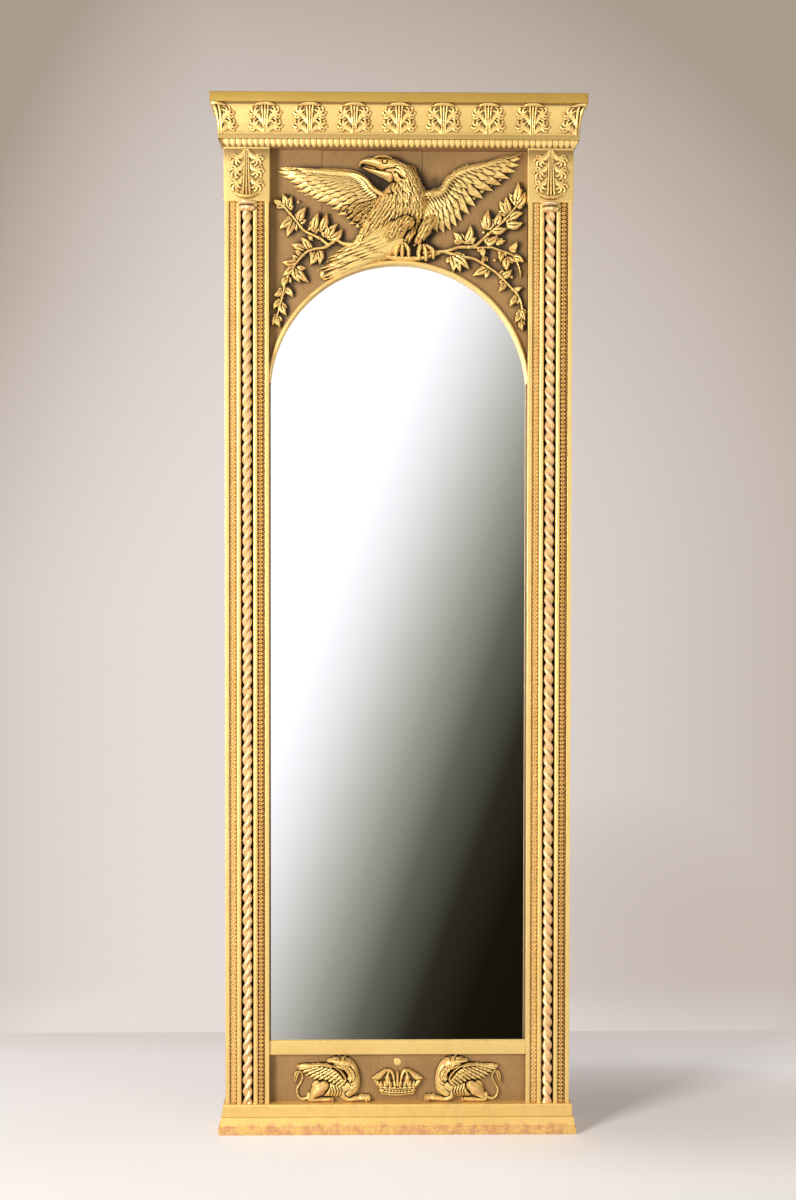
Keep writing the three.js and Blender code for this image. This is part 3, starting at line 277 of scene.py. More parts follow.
def dome(start: Sequence[float], end: Sequence[float], rise: float,
         count: int = 9) -> list[tuple[float, float, float]]:
    """Corners of a half-round between two places: level + rise * sin(a) at (1 - cos(a)) / 2 along.

    Args:
        start: Where it starts, as (along, level).
        end: Where it ends.
        rise: Its height.
        count: How many corners.

    Returns:
        The corners, each with no radius.
    """
    t = (1 - np.cos(np.linspace(0, np.pi, count))) / 2
    along = start[0] + (end[0] - start[0]) * t
    up = start[1] + rise * np.sin(np.arccos(1 - 2 * t))
    return [(a, u, 0.0) for a, u in zip(along, up)]


# ---------------------------------------------------------------- shader maths
class Value:
    """A socket of a node tree that takes part in sums, products and quotients by adding Math nodes."""

    def __init__(self, tree: "Shader", socket: Any) -> None:
        """Keeps the builder and the socket."""
        self.tree = tree
        self.socket = socket

    def _math(self, operation: str, first: Any, second: Any) -> "Value":
        """A Math node on two values.

        Args:
            operation: The node's operation.
            first: Its first value.
            second: Its second value.

        Returns:
            The node's result.
        """
        return self.tree.node("ShaderNodeMath", {"operation": operation}, {0: first, 1: second})

    def __add__(self, other: Any) -> "Value":
        """self + other."""
        return self._math("ADD", self, other)

    __radd__ = __add__

    def __sub__(self, other: Any) -> "Value":
        """self - other."""
        return self._math("SUBTRACT", self, other)

    def __rsub__(self, other: Any) -> "Value":
        """other - self."""
        return self._math("SUBTRACT", other, self)

    def __mul__(self, other: Any) -> "Value":
        """self * other."""
        return self._math("MULTIPLY", self, other)

    __rmul__ = __mul__

    def __truediv__(self, other: Any) -> "Value":
        """self / other."""
        return self._math("DIVIDE", self, other)

    def __rtruediv__(self, other: Any) -> "Value":
        """other / self."""
        return self._math("DIVIDE", other, self)

    def absolute(self) -> "Value":
        """The value without its sign."""
        return self._math("ABSOLUTE", self, 0.0)

    def sine(self) -> "Value":
        """The sine of the value in radians."""
        return self._math("SINE", self, 0.0)

    def step(self, low: float, high: float) -> "Value":
        """0 below low, 1 above high and a smooth step between."""
        settings = {"interpolation_type": "SMOOTHSTEP", "clamp": True}
        return self.tree.node("ShaderNodeMapRange", settings, {"Value": self, "From Min": low,
                                                               "From Max": high})

    def clamped(self, low: float = 0.0, high: float = 1.0) -> "Value":
        """The value kept between two bounds."""
        return self.tree.node("ShaderNodeClamp", {}, {"Value": self, "Min": low, "Max": high})


class Shader:
    """Builds one node tree."""

    def __init__(self, owner: Any) -> None:
        """Empties the owner's node tree and keeps it.

        Args:
            owner: A material or world.
        """
        owner.use_nodes = True
        self.tree = owner.node_tree
        self.tree.nodes.clear()

    def node(self, kind: str, settings: dict[str, Any], sockets: dict[Any, Any], output: Any = 0) -> Value:
        """Adds a node: settings first, then the values or links of its sockets.

        Args:
            kind: The node's type.
            settings: Properties of the node; `stops` fills a colour ramp with (place, colour).
            sockets: Input names or numbers with numbers, colours or Values.
            output: Name or number of the output to hand back.

        Returns:
            The chosen output.
        """
        made = self.tree.nodes.new(kind)
        for key, value in settings.items():
            if key == "stops":
                self._fill_ramp(made.color_ramp, value)
            else:
                setattr(made, key, value)
        for key, value in sockets.items():
            target = made.inputs[key]
            if isinstance(value, Value):
                self.tree.links.new(value.socket, target)
            elif target.type == "RGBA" and len(value) == 3:
                target.default_value = (*value, 1.0)
            else:
                target.default_value = value
        return Value(self, made.outputs[output] if made.outputs else made)

    def outputs(self, kind: str, sockets: dict[Any, Any], names: Sequence[str]) -> list[Value]:
        """Adds a node and hands back several of its outputs.

        Args:
            kind: The node's type.
            sockets: Input names with numbers, colours or Values.
            names: The outputs' names.

        Returns:
            The named outputs in turn.
        """
        made = self.node(kind, {}, sockets, names[0]).socket.node
        return [Value(self, made.outputs[name]) for name in names]

    @staticmethod
    def _fill_ramp(ramp: Any, stops: Sequence[tuple[float, Colour]]) -> None:
        """Sets a ramp's stops.

        Args:
            ramp: The colour ramp.
            stops: Places from 0 to 1 with their linear colours.
        """
        while len(ramp.elements) < len(stops):
            ramp.elements.new(0.5)
        for element, (where, colour) in zip(ramp.elements, stops):
            element.position = where
            element.color = (*colour, 1.0)

    def coordinates(self) -> Value:
        """Object coordinates, in metres."""
        return self.node("ShaderNodeTexCoord", {}, {}, "Object")

    def places(self, *axes: str) -> list[Value]:
        """Object coordinates along the named axes, in metres."""
        return self.outputs("ShaderNodeSeparateXYZ", {"Vector": self.coordinates()}, axes)

    def stretched(self, scale: Sequence[float]) -> Value:
        """Object coordinates times a scale for each axis."""
        return self.node("ShaderNodeMapping", {}, {"Vector": self.coordinates(), "Scale": scale})

    def noise(self, scale: float, detail: float = 3.0, vector: Value | None = None,
              roughness: float = 0.55) -> Value:
        """Noise between 0 and 1.

        Args:
            scale: Cells per metre.
            detail: Octaves.
            vector: Coordinates in place of plain object coordinates.
            roughness: Weight of the finer octaves.

        Returns:
            The noise's factor.
        """
        sockets = {"Vector": vector or self.coordinates(), "Scale": scale, "Detail": detail,
                   "Roughness": roughness}
        return self.node("ShaderNodeTexNoise", {}, sockets, "Fac")

    def attribute(self, name: str) -> Value:
        """A point attribute of the piece, 0 where the piece has none."""
        return self.node("ShaderNodeAttribute", {"attribute_name": name}, {}, "Fac")

    def mix(self, factor: Any, first: Any, second: Any, blend: str = "MIX") -> Value:
        """Mixes two colours.

        Args:
            factor: Share of the second colour.
            first: The first colour.
            second: The second colour.
            blend: How they blend.

        Returns:
            The mixed colour.
        """
        settings = {"data_type": "RGBA", "blend_type": blend, "clamp_factor": True}
        return self.node("ShaderNodeMix", settings, {0: factor, 6: first, 7: second}, 2)

    def bump(self, height: Value, strength: float, distance: float) -> Value:
        """A normal from a height.

        Args:
            height: The height, in shares of the distance.
            strength: How much of it shows.
            distance: The full height in metres.

        Returns:
            The bent normal.
        """
        return self.node("ShaderNodeBump", {}, {"Height": height, "Strength": strength,
                                                "Distance": distance})

    def principled(self, colour: Value, roughness: Any, metal: Any = 0.0,
                   normal: Value | None = None) -> Value:
        """A Principled shader.

        Args:
            colour: Its base colour.
            roughness: Its roughness.
            metal: Its share of metal.
            normal: Its bent normal, where it has one.

        Returns:
            The shader.
        """
        sockets = {"Base Color": colour, "Roughness": roughness, "Metallic": metal}
        if normal is not None:
            sockets["Normal"] = normal
        return self.node("ShaderNodeBsdfPrincipled", {}, sockets)

    def blend(self, factor: Any, first: Value, second: Value) -> Value:
        """A mix of two shaders by the second one's share."""
        return self.node("ShaderNodeMixShader", {}, {0: factor, 1: first, 2: second})

    def glow(self, colour: Any, strength: float = 1.0) -> Value:
        """A shader that gives off a colour."""
        return self.node("ShaderNodeEmission", {}, {"Color": colour, "Strength": strength})

    def surface(self, shader: Value) -> None:
        """Links a shader to the material's output."""
        self.node("ShaderNodeOutputMaterial", {"is_active_output": True}, {"Surface": shader})


def fresh_material(name: str) -> tuple[bpy.types.Material, Shader]:
    """A new material and the builder of its nodes."""
    material = bpy.data.materials.new(name)
    return material, Shader(material)


def linear(red: int, green: int, blue: int) -> Colour:
    """A colour's linear values from its values out of 255: ((c + 0.055) / 1.055)^2.4 above the dark end."""
    shares = (channel / 255 for channel in (red, green, blue))
    return tuple(c / 12.92 if c <= 0.04045 else ((c + 0.055) / 1.055) ** 2.4 for c in shares)


# ---------------------------------------------------------------- finishes
@dataclass(frozen=True)
class Coat:
    """What every finish shares: its name, and a material made from its own layers."""

    name: str

    def layers(self, shade: Shader) -> Value:
        """The finish's shader, which each kind of finish lays in its own way."""
        raise NotImplementedError

    def material(self) -> bpy.types.Material:
        """The new material with the finish's layers on it."""
        material, shade = fresh_material(self.name)
        shade.surface(self.layers(shade))
        return material


@dataclass(frozen=True)
class Gilding(Coat):
    """Gold leaf over red bole and white gesso, toned and rubbed by age, with painted shade in its hollows."""

    leaf: Colour = linear(246, 214, 138)
    toned: Colour = linear(224, 184, 100)
    # The colour that the hollows take as painted shade, and that fine specks take as grime.
    grime_and_hollow_shade: Colour = linear(104, 70, 28)
    # Painted shade, nearly black, for the deepest crevices.
    shade: Colour = linear(30, 16, 7)
    bole: Colour = linear(176, 92, 58)
    gesso: Colour = linear(236, 222, 200)
    rubbing: float = 0.5
    chipping: float = 0.0
    fade: float = 0.07
    depth: float = 0.9
    hollow_shading: float = 0.9
    metal: float = 0.55
    roughness: float = 0.4
    cloud_scale: float = 7.0
    patch_scale: float = 46.0
    chip_scale: float = 95.0
    speck_scale: float = 420.0

    def layers(self, shade: Shader) -> Value:
        """Leaf toned in clouds, painted shade in hollows, grime specks, bole on rubbed crests and gesso in
        small chips.

        Args:
            shade: The material's builder.

        Returns:
            The shader.
        """
        relief = shade.attribute("relief")
        clouds = shade.noise(self.cloud_scale, 4.0)
        patches = shade.noise(self.patch_scale, 4.0, roughness=0.62)
        specks = shade.noise(self.speck_scale, 3.0, roughness=0.6)
        hollow = (relief * -1.0).step(0.0, self.depth)
        crest = relief.step(0.15, 0.95)
        toning = (clouds * 0.9 + patches * 0.5 - 0.38).clamped()
        colour = shade.mix(toning, self.leaf, self.toned)
        # Painted shade darkens the hollows; the fine specks add real grime.
        shade_and_specks = hollow * self.hollow_shading + (specks - 0.62).step(0.0, 0.3) * 0.25
        colour = shade.mix(shade_and_specks.clamped(), colour, self.grime_and_hollow_shade)
        # Painted shade: where the relief falls below -1 the colour goes nearly black.
        colour = shade.mix((relief * -1.0).step(1.05, 1.9), colour, self.shade)
        wear = patches * 0.7 + specks * 0.3 + crest * 0.16
        rubbed = (wear - (0.74 - 0.16 * self.rubbing)).step(0.0, self.fade)
        rubbed = rubbed * (0.25 + crest * 0.75) * self.rubbing
        colour = shade.mix(rubbed, colour, self.bole)
        flakes = shade.noise(self.chip_scale, 2.0) + crest * 0.07 + relief.step(0.9, 1.0) * self.chipping
        chips = (flakes - 0.8).step(0.0, 0.03)
        colour = shade.mix(chips, colour, self.gesso)
        dull = (rubbed + chips).clamped()
        rough = self.roughness + hollow * 0.25 + dull * 0.3 + (specks - 0.5) * 0.18
        normal = shade.bump(specks * 0.6 + patches * 0.4, 0.25, 0.0012)
        return shade.principled(colour, rough.clamped(), self.metal * (1 - dull * 0.9), normal)


@dataclass(frozen=True)
class Bronzing(Coat):
    """Matt bronze powder paint on the flat grounds behind the carving."""

    paint: Colour = linear(170, 131, 80)
    shadow: Colour = linear(118, 90, 50)
    dust: Colour = linear(196, 164, 104)
    painted_shadow: Colour = linear(34, 20, 8)
    brush_scale: tuple[float, float, float] = (260.0, 260.0, 22.0)
    speck_scale: float = 520.0

    def layers(self, shade: Shader) -> Value:
        """Clouded brown bronze with fine light and dark specks, faint upright brush marks and painted shadow.

        Args:
            shade: The material's builder.

        Returns:
            The shader.
        """
        clouds = shade.noise(9.0, 4.0)
        brush = shade.noise(1.0, 3.0, shade.stretched(self.brush_scale))
        specks = shade.noise(self.speck_scale, 2.0)
        colour = shade.mix((clouds * 1.2 - 0.2 + (brush - 0.5) * 0.6).clamped(), self.paint, self.shadow)
        colour = shade.mix((specks - 0.62).step(0.0, 0.1) * 0.6, colour, self.dust)
        colour = shade.mix((0.4 - specks).step(0.0, 0.1) * 0.5, colour, self.shadow)
        # Painted shadow where the relief attribute is negative: beside and above the carvings and under the
        # cornice.
        colour = shade.mix((shade.attribute("relief") * -1.0).step(0.0, 1.5) * 0.93, colour, self.painted_shadow)
        rough = 0.52 + (specks - 0.5) * 0.3 + (brush - 0.5) * 0.2
        return shade.principled(colour, rough.clamped(), 0.25, shade.bump(specks * 0.5 + brush * 0.5,
                                                                          0.2, 0.0008))


@dataclass(frozen=True)
class Silvering(Coat):
    """An old plate: clear silvering, foxed along its sides."""

    silver: Colour = linear(251, 251, 251)
    foxing_and_edge_shadow: Colour = linear(96, 86, 70)
    half_width: float = 0.30
    foot: float = 0.216

    def layers(self, shade: Shader) -> Value:
        """Near-clean mirror; foxing grows where noise is high near the sides, with a painted shadow line at
        the rebate.

        Args:
            shade: The material's builder.

        Returns:
            The shader.
        """
        across, up = shade.places("X", "Z")
        beside = across.absolute()
        near_side = beside.step(self.half_width - 0.012, self.half_width)
        # A painted shadow line along each side, at the rebate.
        rebate_shadow = beside.step(self.half_width - 0.0042, self.half_width - 0.0022)
        edge = near_side * up.step(self.foot + 0.004, self.foot + 0.05)
        fox = (shade.noise(110.0, 4.0, roughness=0.7) * 0.8 + edge * 0.34 - 0.78).step(0.0, 0.12)
        colour = shade.mix((fox + rebate_shadow * 0.85).clamped(), self.silver, self.foxing_and_edge_shadow)
        return shade.principled(colour, (fox * 0.4).clamped(), 1.0)


@dataclass(frozen=True)
class Timber(Coat):
    """Old softwood with upright grain, bare or under a worn wash."""

    early: Colour = linear(168, 124, 76)
    late: Colour = linear(112, 74, 40)
    wash: Colour = linear(196, 150, 76)
    washed: float = 0.0
    ring_scale: tuple[float, float, float] = (34.0, 34.0, 1.6)
    pore_scale: tuple[float, float, float] = (900.0, 900.0, 26.0)

    def layers(self, shade: Shader) -> Value:
        """Growth rings as stretched noise bands, darkened pores and, where washed, a thin ochre coat.

        Args:
            shade: The material's builder.

        Returns:
            The shader.
        """
        rings = shade.noise(1.0, 2.0, shade.stretched(self.ring_scale))
        bands = (rings * 46.0).sine() * 0.5 + 0.5
        pores = shade.noise(1.0, 3.0, shade.stretched(self.pore_scale))
        clouds = shade.noise(6.0, 4.0)
        colour = shade.mix((bands * 0.6 + pores * 0.4).clamped(), self.early, self.late)
        colour = shade.mix((clouds - 0.5).step(0.0, 0.4) * 0.5, colour, self.late)
        coat = ((clouds * 0.6 + pores * 0.6 - 0.36).step(0.0, 0.16) * self.washed).clamped()
        colour = shade.mix(coat, colour, self.wash)
        rough = 0.72 + (pores - 0.5) * 0.3 - coat * 0.15
        normal = shade.bump(bands * 0.35 + pores * 0.65, 0.3, 0.0008)
        return shade.principled(colour, rough.clamped(), normal=normal)


@dataclass(frozen=True)
class WroughtIron(Coat):
    """Hand-forged iron with a brown skin of rust."""

    skin: Colour = linear(58, 52, 47)
    rust: Colour = linear(110, 66, 38)

    def layers(self, shade: Shader) -> Value:
        """Dark metal, rusted where clouded noise is high, with a hammered bump.

        Args:
            shade: The material's builder.

        Returns:
            The shader.
        """
        clouds = shade.noise(120.0, 4.0, roughness=0.65)
        rusted = clouds.step(0.48, 0.66)
        colour = shade.mix(rusted, self.skin, self.rust)
        return shade.principled(colour, 0.45 + rusted * 0.4, 0.85 - rusted * 0.75,
                                shade.bump(clouds, 0.4, 0.0008))


class Finish(Enum):
    """The finishes that the pieces wear."""

    MOULDING = Gilding("gilt_moulding")
    CARVING = Gilding("gilt_carving", leaf=linear(250, 220, 142), toned=linear(228, 186, 98),
                      grime_and_hollow_shade=linear(78, 48, 16),
                       hollow_shading=1.0, depth=0.62)
    # The two bead band finishes are one gilding, painted lit and painted in shade, for bands on either side
    # of the rope.
    BAND = Gilding("gilt_band", leaf=linear(246, 214, 148), toned=linear(226, 184, 116),
                   hollow_shading=1.0, depth=0.8)
    SHADED_BAND = Gilding("gilt_shaded_band", leaf=linear(240, 204, 128), toned=linear(216, 170, 98),
                        grime_and_hollow_shade=linear(82, 46, 16), hollow_shading=1.0, depth=0.75)
    SLAB = Gilding("gilt_top_board", leaf=linear(206, 170, 84), toned=linear(180, 142, 64), hollow_shading=0.8,
                   chipping=0.15)
    COLUMN = Gilding("gilt_rope", leaf=linear(250, 220, 164), toned=linear(232, 190, 124),
                     bole=linear(230, 168, 136), rubbing=0.7)
    FOOT = Gilding("gilt_foot", leaf=linear(246, 208, 126), bole=linear(196, 142, 92), rubbing=1.25,
                   chipping=0.19, fade=0.24)
    GROUND = Bronzing("bronzed_ground")
    PLATE = Silvering("silvered_plate")
    PINE = Timber("bare_pine", early=linear(172, 130, 82), late=linear(128, 88, 50))
    DARK_PINE = Timber("darker_pine", early=linear(152, 110, 66), late=linear(106, 70, 38))
    STILE = Timber("washed_stile", washed=0.85)
    IRON = WroughtIron("forged_iron")


class Workshop:
    """Makes each finish once and hands it out."""

    def __init__(self) -> None:
        """Starts with nothing made."""
        self.made: dict[Finish, bpy.types.Material] = {}

    def __getitem__(self, finish: Finish) -> bpy.types.Material:
        """The material of a finish."""
        if finish not in self.made:
            self.made[finish] = finish.value.material()
        return self.made[finish]


# ---------------------------------------------------------------- pilasters
@dataclass
class Pilaster:
    """One pilaster: its board, two bead bands, rope column and the cap over it."""

    side: str
    sign: int
    outer: float = 400.0
    fillet: float = 9.5
    band: float = 16.5
    astragal: float = 11.0
    channel: float = 27.4
    front: float = 92.0
    back: float = 60.0
    band_floor: float = 86.0
    channel_floor: float = 74.0
    astragal_rise: float = 3.4
    rope_lead: float = 53.4
    strand_radius: float = 6.7
    strand_offset: float = 4.6
    bead_pitch: float = 9.4
    cap_radius: float = 24.0
    board_rings: int = 140
    ring_gap: float = 2.1
    cap_points: int = 72
    channel_shade: float = -2.0
    reveal_shade: float = -1.9

    @property
    def width(self) -> float:
        """The pilaster's full width."""
        return 2 * (self.fillet + self.band + self.astragal) + self.channel

    @property
    def rope_x(self) -> float:
        """Where the rope's axis stands across."""
        return self.sign * (self.outer - self.width / 2)

    def board(self) -> Surface:
        """The moulded board: rounded fillets and half-round astragals carried straight up.

        Returns:
            The board's surface.
        """
        low, high = node_range(f"pilaster_board_{self.side}", 2)
        shoulder = self.front - self.astragal_rise
        steps = [0, self.fillet, self.band, self.astragal, self.channel]
        edges = np.cumsum(steps + steps[3:0:-1])
        corners: list[Sequence[float]] = [(0, self.back, 0.0)]
        corners += [(0, self.front, 0.9), (edges[1], self.front, 0.9), (edges[1], self.band_floor, 0.5)]
        corners += [(edges[2], self.band_floor, 0.5)]
        corners += dome((edges[2] + 0.4, shoulder), (edges[3] - 0.4, shoulder), self.astragal_rise)
        corners += [(edges[3], self.channel_floor, 0.8), (edges[4], self.channel_floor, 0.8)]
        corners += dome((edges[4] + 0.4, shoulder), (edges[5] - 0.4, shoulder), self.astragal_rise)
        corners += [(edges[5], self.band_floor, 0.5), (edges[6], self.band_floor, 0.5)]
        corners += [(edges[6], self.front, 0.9), (edges[7], self.front, 0.9), (edges[7], self.back, 0.0)]
        outline, relief = rounded(corners)
        across, depth = outline.T
        deep = (depth < self.front - 9) & (across > edges[3] - 1) & (across < edges[4] + 1)
        relief = np.where(deep, self.channel_shade, relief)
        reveal = (across > self.width - 0.2) & (depth < self.front - 1)
        relief = np.where(reveal, self.reveal_shade, relief)
        z = np.linspace(low, high, self.board_rings)[:, None]
        points = place(self.sign * (self.outer - across)[None], depth[None], z)
        return swept(points, relief)

    def rope(self) -> Surface:
        """Two strands laid together.

        At turn angle a the section reaches c |cos a| + sqrt(r^2 - c^2 sin^2 a), the outline of two circles of
        radius r at +c and -c, pinched where they meet; it turns once in each lead.

        Returns:
            The rope's surface.
        """
        low, high = node_range(f"rope_column_{self.side}", 2)
        axis_depth = sum(node_range(f"rope_column_{self.side}", 1)) / 2
        rings = int((high - low) / self.ring_gap)
        z = np.linspace(low, high, rings)[:, None]
        angle = np.linspace(0, 2 * np.pi, 28, endpoint=False)[None]
        pinch = np.exp(-((np.cos(angle) / 0.2) ** 2))
        bulge = np.sqrt(self.strand_radius**2 - (self.strand_offset * np.sin(angle)) ** 2)
        reach = self.strand_offset * np.abs(np.cos(angle)) + bulge - 0.6 * pinch
        wander = 1 + 0.012 * np.sin(z / 61.0) + 0.01 * np.sin(z / 23.0 + 1.0)
        turned = angle - self.sign * 2 * np.pi * (z - low) / self.rope_lead
        points = place(self.rope_x + reach * wander * np.cos(turned),
                       axis_depth - reach * wander * np.sin(turned), z)
        # Painted shade in the pinch between the strands and on the far side of each strand; the near side is
        # rubbed a little more.
        away, toward = np.clip(np.sin(turned), 0, 1), np.clip(-np.sin(turned), 0, 1)
        surface = swept(points, pinch[0])
        surface.relief = (0.6 - 1.5 * pinch - 2.2 * away**2 + 0.2 * toward).ravel()
        return surface

    def band_unit(self, toward_rope: Grid, along: Grid) -> Grid:
        """Height of a bead band: a hollowed curl in each pitch beside a row of dots at twice its rate.

        Args:
            toward_rope: Share of the band's width, 0 on the far side and 1 by the astragal.
            along: Place along the band in pitches.

        Returns:
            The height in shares of the rise.
        """
        phase = (along % 1.0 - 0.5) * 2
        ring = np.hypot((toward_rope - 0.6) / 0.36, phase / 0.95)
        curl = np.exp(-(((ring - 0.62) / 0.34) ** 2)) * (toward_rope > 0.2)
        beat = 0.55 + 0.45 * np.cos(2 * np.pi * along * 2)
        dots = 0.7 * np.exp(-(((toward_rope - 0.14) / 0.09) ** 2)) * beat
        return np.clip(np.maximum(curl, dots), 0.03, 1)

    def faces_light(self, place_name: str) -> bool:
        """Whether a bead band lies on the left of its pilaster, on the lit side; the other band is painted in
        shade.
        """
        return (place_name == "outer") == (self.sign < 0)

    def band_piece(self, place_name: str) -> Surface:
        """One bead band, a height field of eleven columns with the curl and dots repeated along it.

        Args:
            place_name: `outer` or `inner`.

        Returns:
            The band's surface.
        """
        node = f"bead_band_{place_name}_{self.side}"
        low, high = node_range(node, 2)
        x_low, x_high = node_range(node, 0)
        floor, top = node_range(node, 1)
        repeats = round((high - low) / self.bead_pitch)
        across = np.array([0, 0.07, 0.14, 0.22, 0.3, 0.42, 0.6, 0.78, 0.9, 0.96, 1.0])
        phases = np.array([0.0, 0.12, 0.25, 0.38, 0.5, 0.62, 0.75, 0.88])
        along = (np.arange(repeats)[:, None] + phases[None]).ravel()
        along = np.append(along, repeats)
        rise = self.band_unit(across[None], along[:, None])
        inner_first = (place_name == "inner") == (self.sign > 0)
        x = x_low + (x_high - x_low) * (across if inner_first else 1 - across)
        z = low + (high - low) * along / repeats
        depth = floor + (top - floor) * rise
        face = place(x[None], depth, z[:, None])
        back = place(np.array([x[-1], x[0]])[None], np.full((len(z), 2), floor - 0.2), z[:, None])
        # A band on the shaded side is painted darker: its relief is lower and spread wider, deepening the
        # painted shade.
        worn, dark = (1.3, 0.62) if self.faces_light(place_name) else (2.3, 1.25)
        relief = np.concatenate([rise * worn - dark, np.full((len(z), 2), -0.6)], axis=1)
        ring = np.concatenate([face, back], axis=1)
        surface = swept(ring, relief[0])
        surface.relief = relief.ravel()
        return surface

    def cap(self) -> Surface:
        """The bell over the rope's head: a turned cup with a curled lip above a fluted bulb.

        The radius follows a turned profile up its height, and the lower part is lobed by 1 + 0.07 cos(9 a).

        Returns:
            The cap's surface, its sides held to the width of the channel behind the board's face.
        """
        node = f"rope_cap_{self.side}"
        low, high = node_range(node, 2)
        axis_depth = sum(node_range(f"rope_column_{self.side}", 1)) / 2
        t = np.array([0, 0.04, 0.12, 0.22, 0.34, 0.46, 0.54, 0.6, 0.68, 0.78, 0.88, 0.95, 1.0])
        reach = np.array([0.45, 0.6, 0.76, 0.87, 0.93, 0.9, 0.78, 0.64, 0.78, 0.95, 1.0, 0.97,
                          0.86]) * self.cap_radius
        angle = np.linspace(0, 2 * np.pi, self.cap_points, endpoint=False)[None]
        lobes = 1 + 0.07 * np.cos(9 * angle) * np.clip(1.3 - 2 * t, 0, 1)[:, None]
        radius = reach[:, None] * lobes
        x = self.rope_x + radius * np.cos(angle)
        depth = np.maximum(axis_depth + radius * np.sin(angle), self.channel_floor + 0.3)
        beside = np.abs(x - self.rope_x) > self.channel / 2 - 0.3
        depth = np.where(beside, np.maximum(depth, self.front + 0.3), depth)
        points = place(x, depth, (low + (high - low) * t)[:, None])
        surface = swept(points, np.zeros(self.cap_points))
        # Painted shade at the foot and in the neck; the curled lip is rubbed.
        relief = np.interp(t, [0, 0.3, 0.58, 0.7, 0.9, 1.0], [-0.5, 0.3, -1.0, 0.0, 0.8, 0.2])
        surface.relief = np.repeat(relief, self.cap_points)
        return surface

    def make(self, workshop: Workshop) -> None:
        """Builds and dresses the pilaster's pieces.

        Args:
            workshop: The finishes.
        """
        add_piece(f"moulded_board_{self.side}", self.board(), workshop[Finish.MOULDING],
                  [f"pilaster_board_{self.side}"])
        for where in ("outer", "inner"):
            finish = Finish.BAND if self.faces_light(where) else Finish.SHADED_BAND
            add_piece(f"beading_{where}_{self.side}", self.band_piece(where), workshop[finish],
                      [f"bead_band_{where}_{self.side}"], sharp_angle=75)
        add_piece(f"laid_rope_{self.side}", self.rope(), workshop[Finish.COLUMN],
                  [f"rope_column_{self.side}"], sharp_angle=80)
        add_piece(f"husk_cap_{self.side}", self.cap(), workshop[Finish.COLUMN],
                  [f"rope_cap_{self.side}"], sharp_angle=60)


# ---------------------------------------------------------------- carving
def smooth_path(points: Sequence[Sequence[float]], per_span: int = 6) -> Grid:
    """A Catmull-Rom curve through points: each span blends its four nearest points by cubic weights in t.

    Args:
        points: The points to pass through, with any number of values each.
        per_span: Steps in each span.

    Returns:
        The curve's points.
    """
    p = np.array(points, float)
    if len(p) < 3:
        t = np.linspace(0, 1, per_span + 1)[:, None]
        return p[0] * (1 - t) + p[-1] * t
    q = np.concatenate([2 * p[:1] - p[1:2], p, 2 * p[-1:] - p[-2:-1]])
    a, b, c, d = q[:-3, None], q[1:-2, None], q[2:-1, None], q[3:, None]
    t = np.linspace(0, 1, per_span, endpoint=False)[None, :, None]
    curve = b + 0.5 * t * (c - a + t * (2 * a - 5 * b + 4 * c - d + t * (3 * (b - c) + d - a)))
    return np.concatenate([curve.reshape(-1, p.shape[1]), p[-1:]])


def box_blurred(values: Grid, reach: int) -> Grid:
    """The mean over a square window, worked out twice from running sums, with the border repeated.

    Args:
        values: The grid.
        reach: Cells from the window's middle to its edge.

    Returns:
        The softened grid.
    """
    for _ in range(2):
        for axis in (0, 1):
            padded = np.pad(values, [(reach + 1, reach) if a == axis else (0, 0) for a in (0, 1)],
                            mode="edge")
            sums = np.cumsum(padded, axis=axis)
            size = 2 * reach + 1
            high = np.take(sums, range(size, sums.shape[axis]), axis=axis)
            low = np.take(sums, range(0, sums.shape[axis] - size), axis=axis)
            values = (high - low) / size
    return values


def spread(values: Sequence[float], along: Grid) -> Grid:
    """Evenly spaced values read at shares of the way from 0 to 1."""
    return np.interp(along, np.linspace(0, 1, len(values)), values)


class Section(Enum):
    """How a chisel stroke is shaped across."""

    ROUND = "round"
    FEATHER = "feather"
    LEAF = "leaf"
    GUTTER = "gutter"


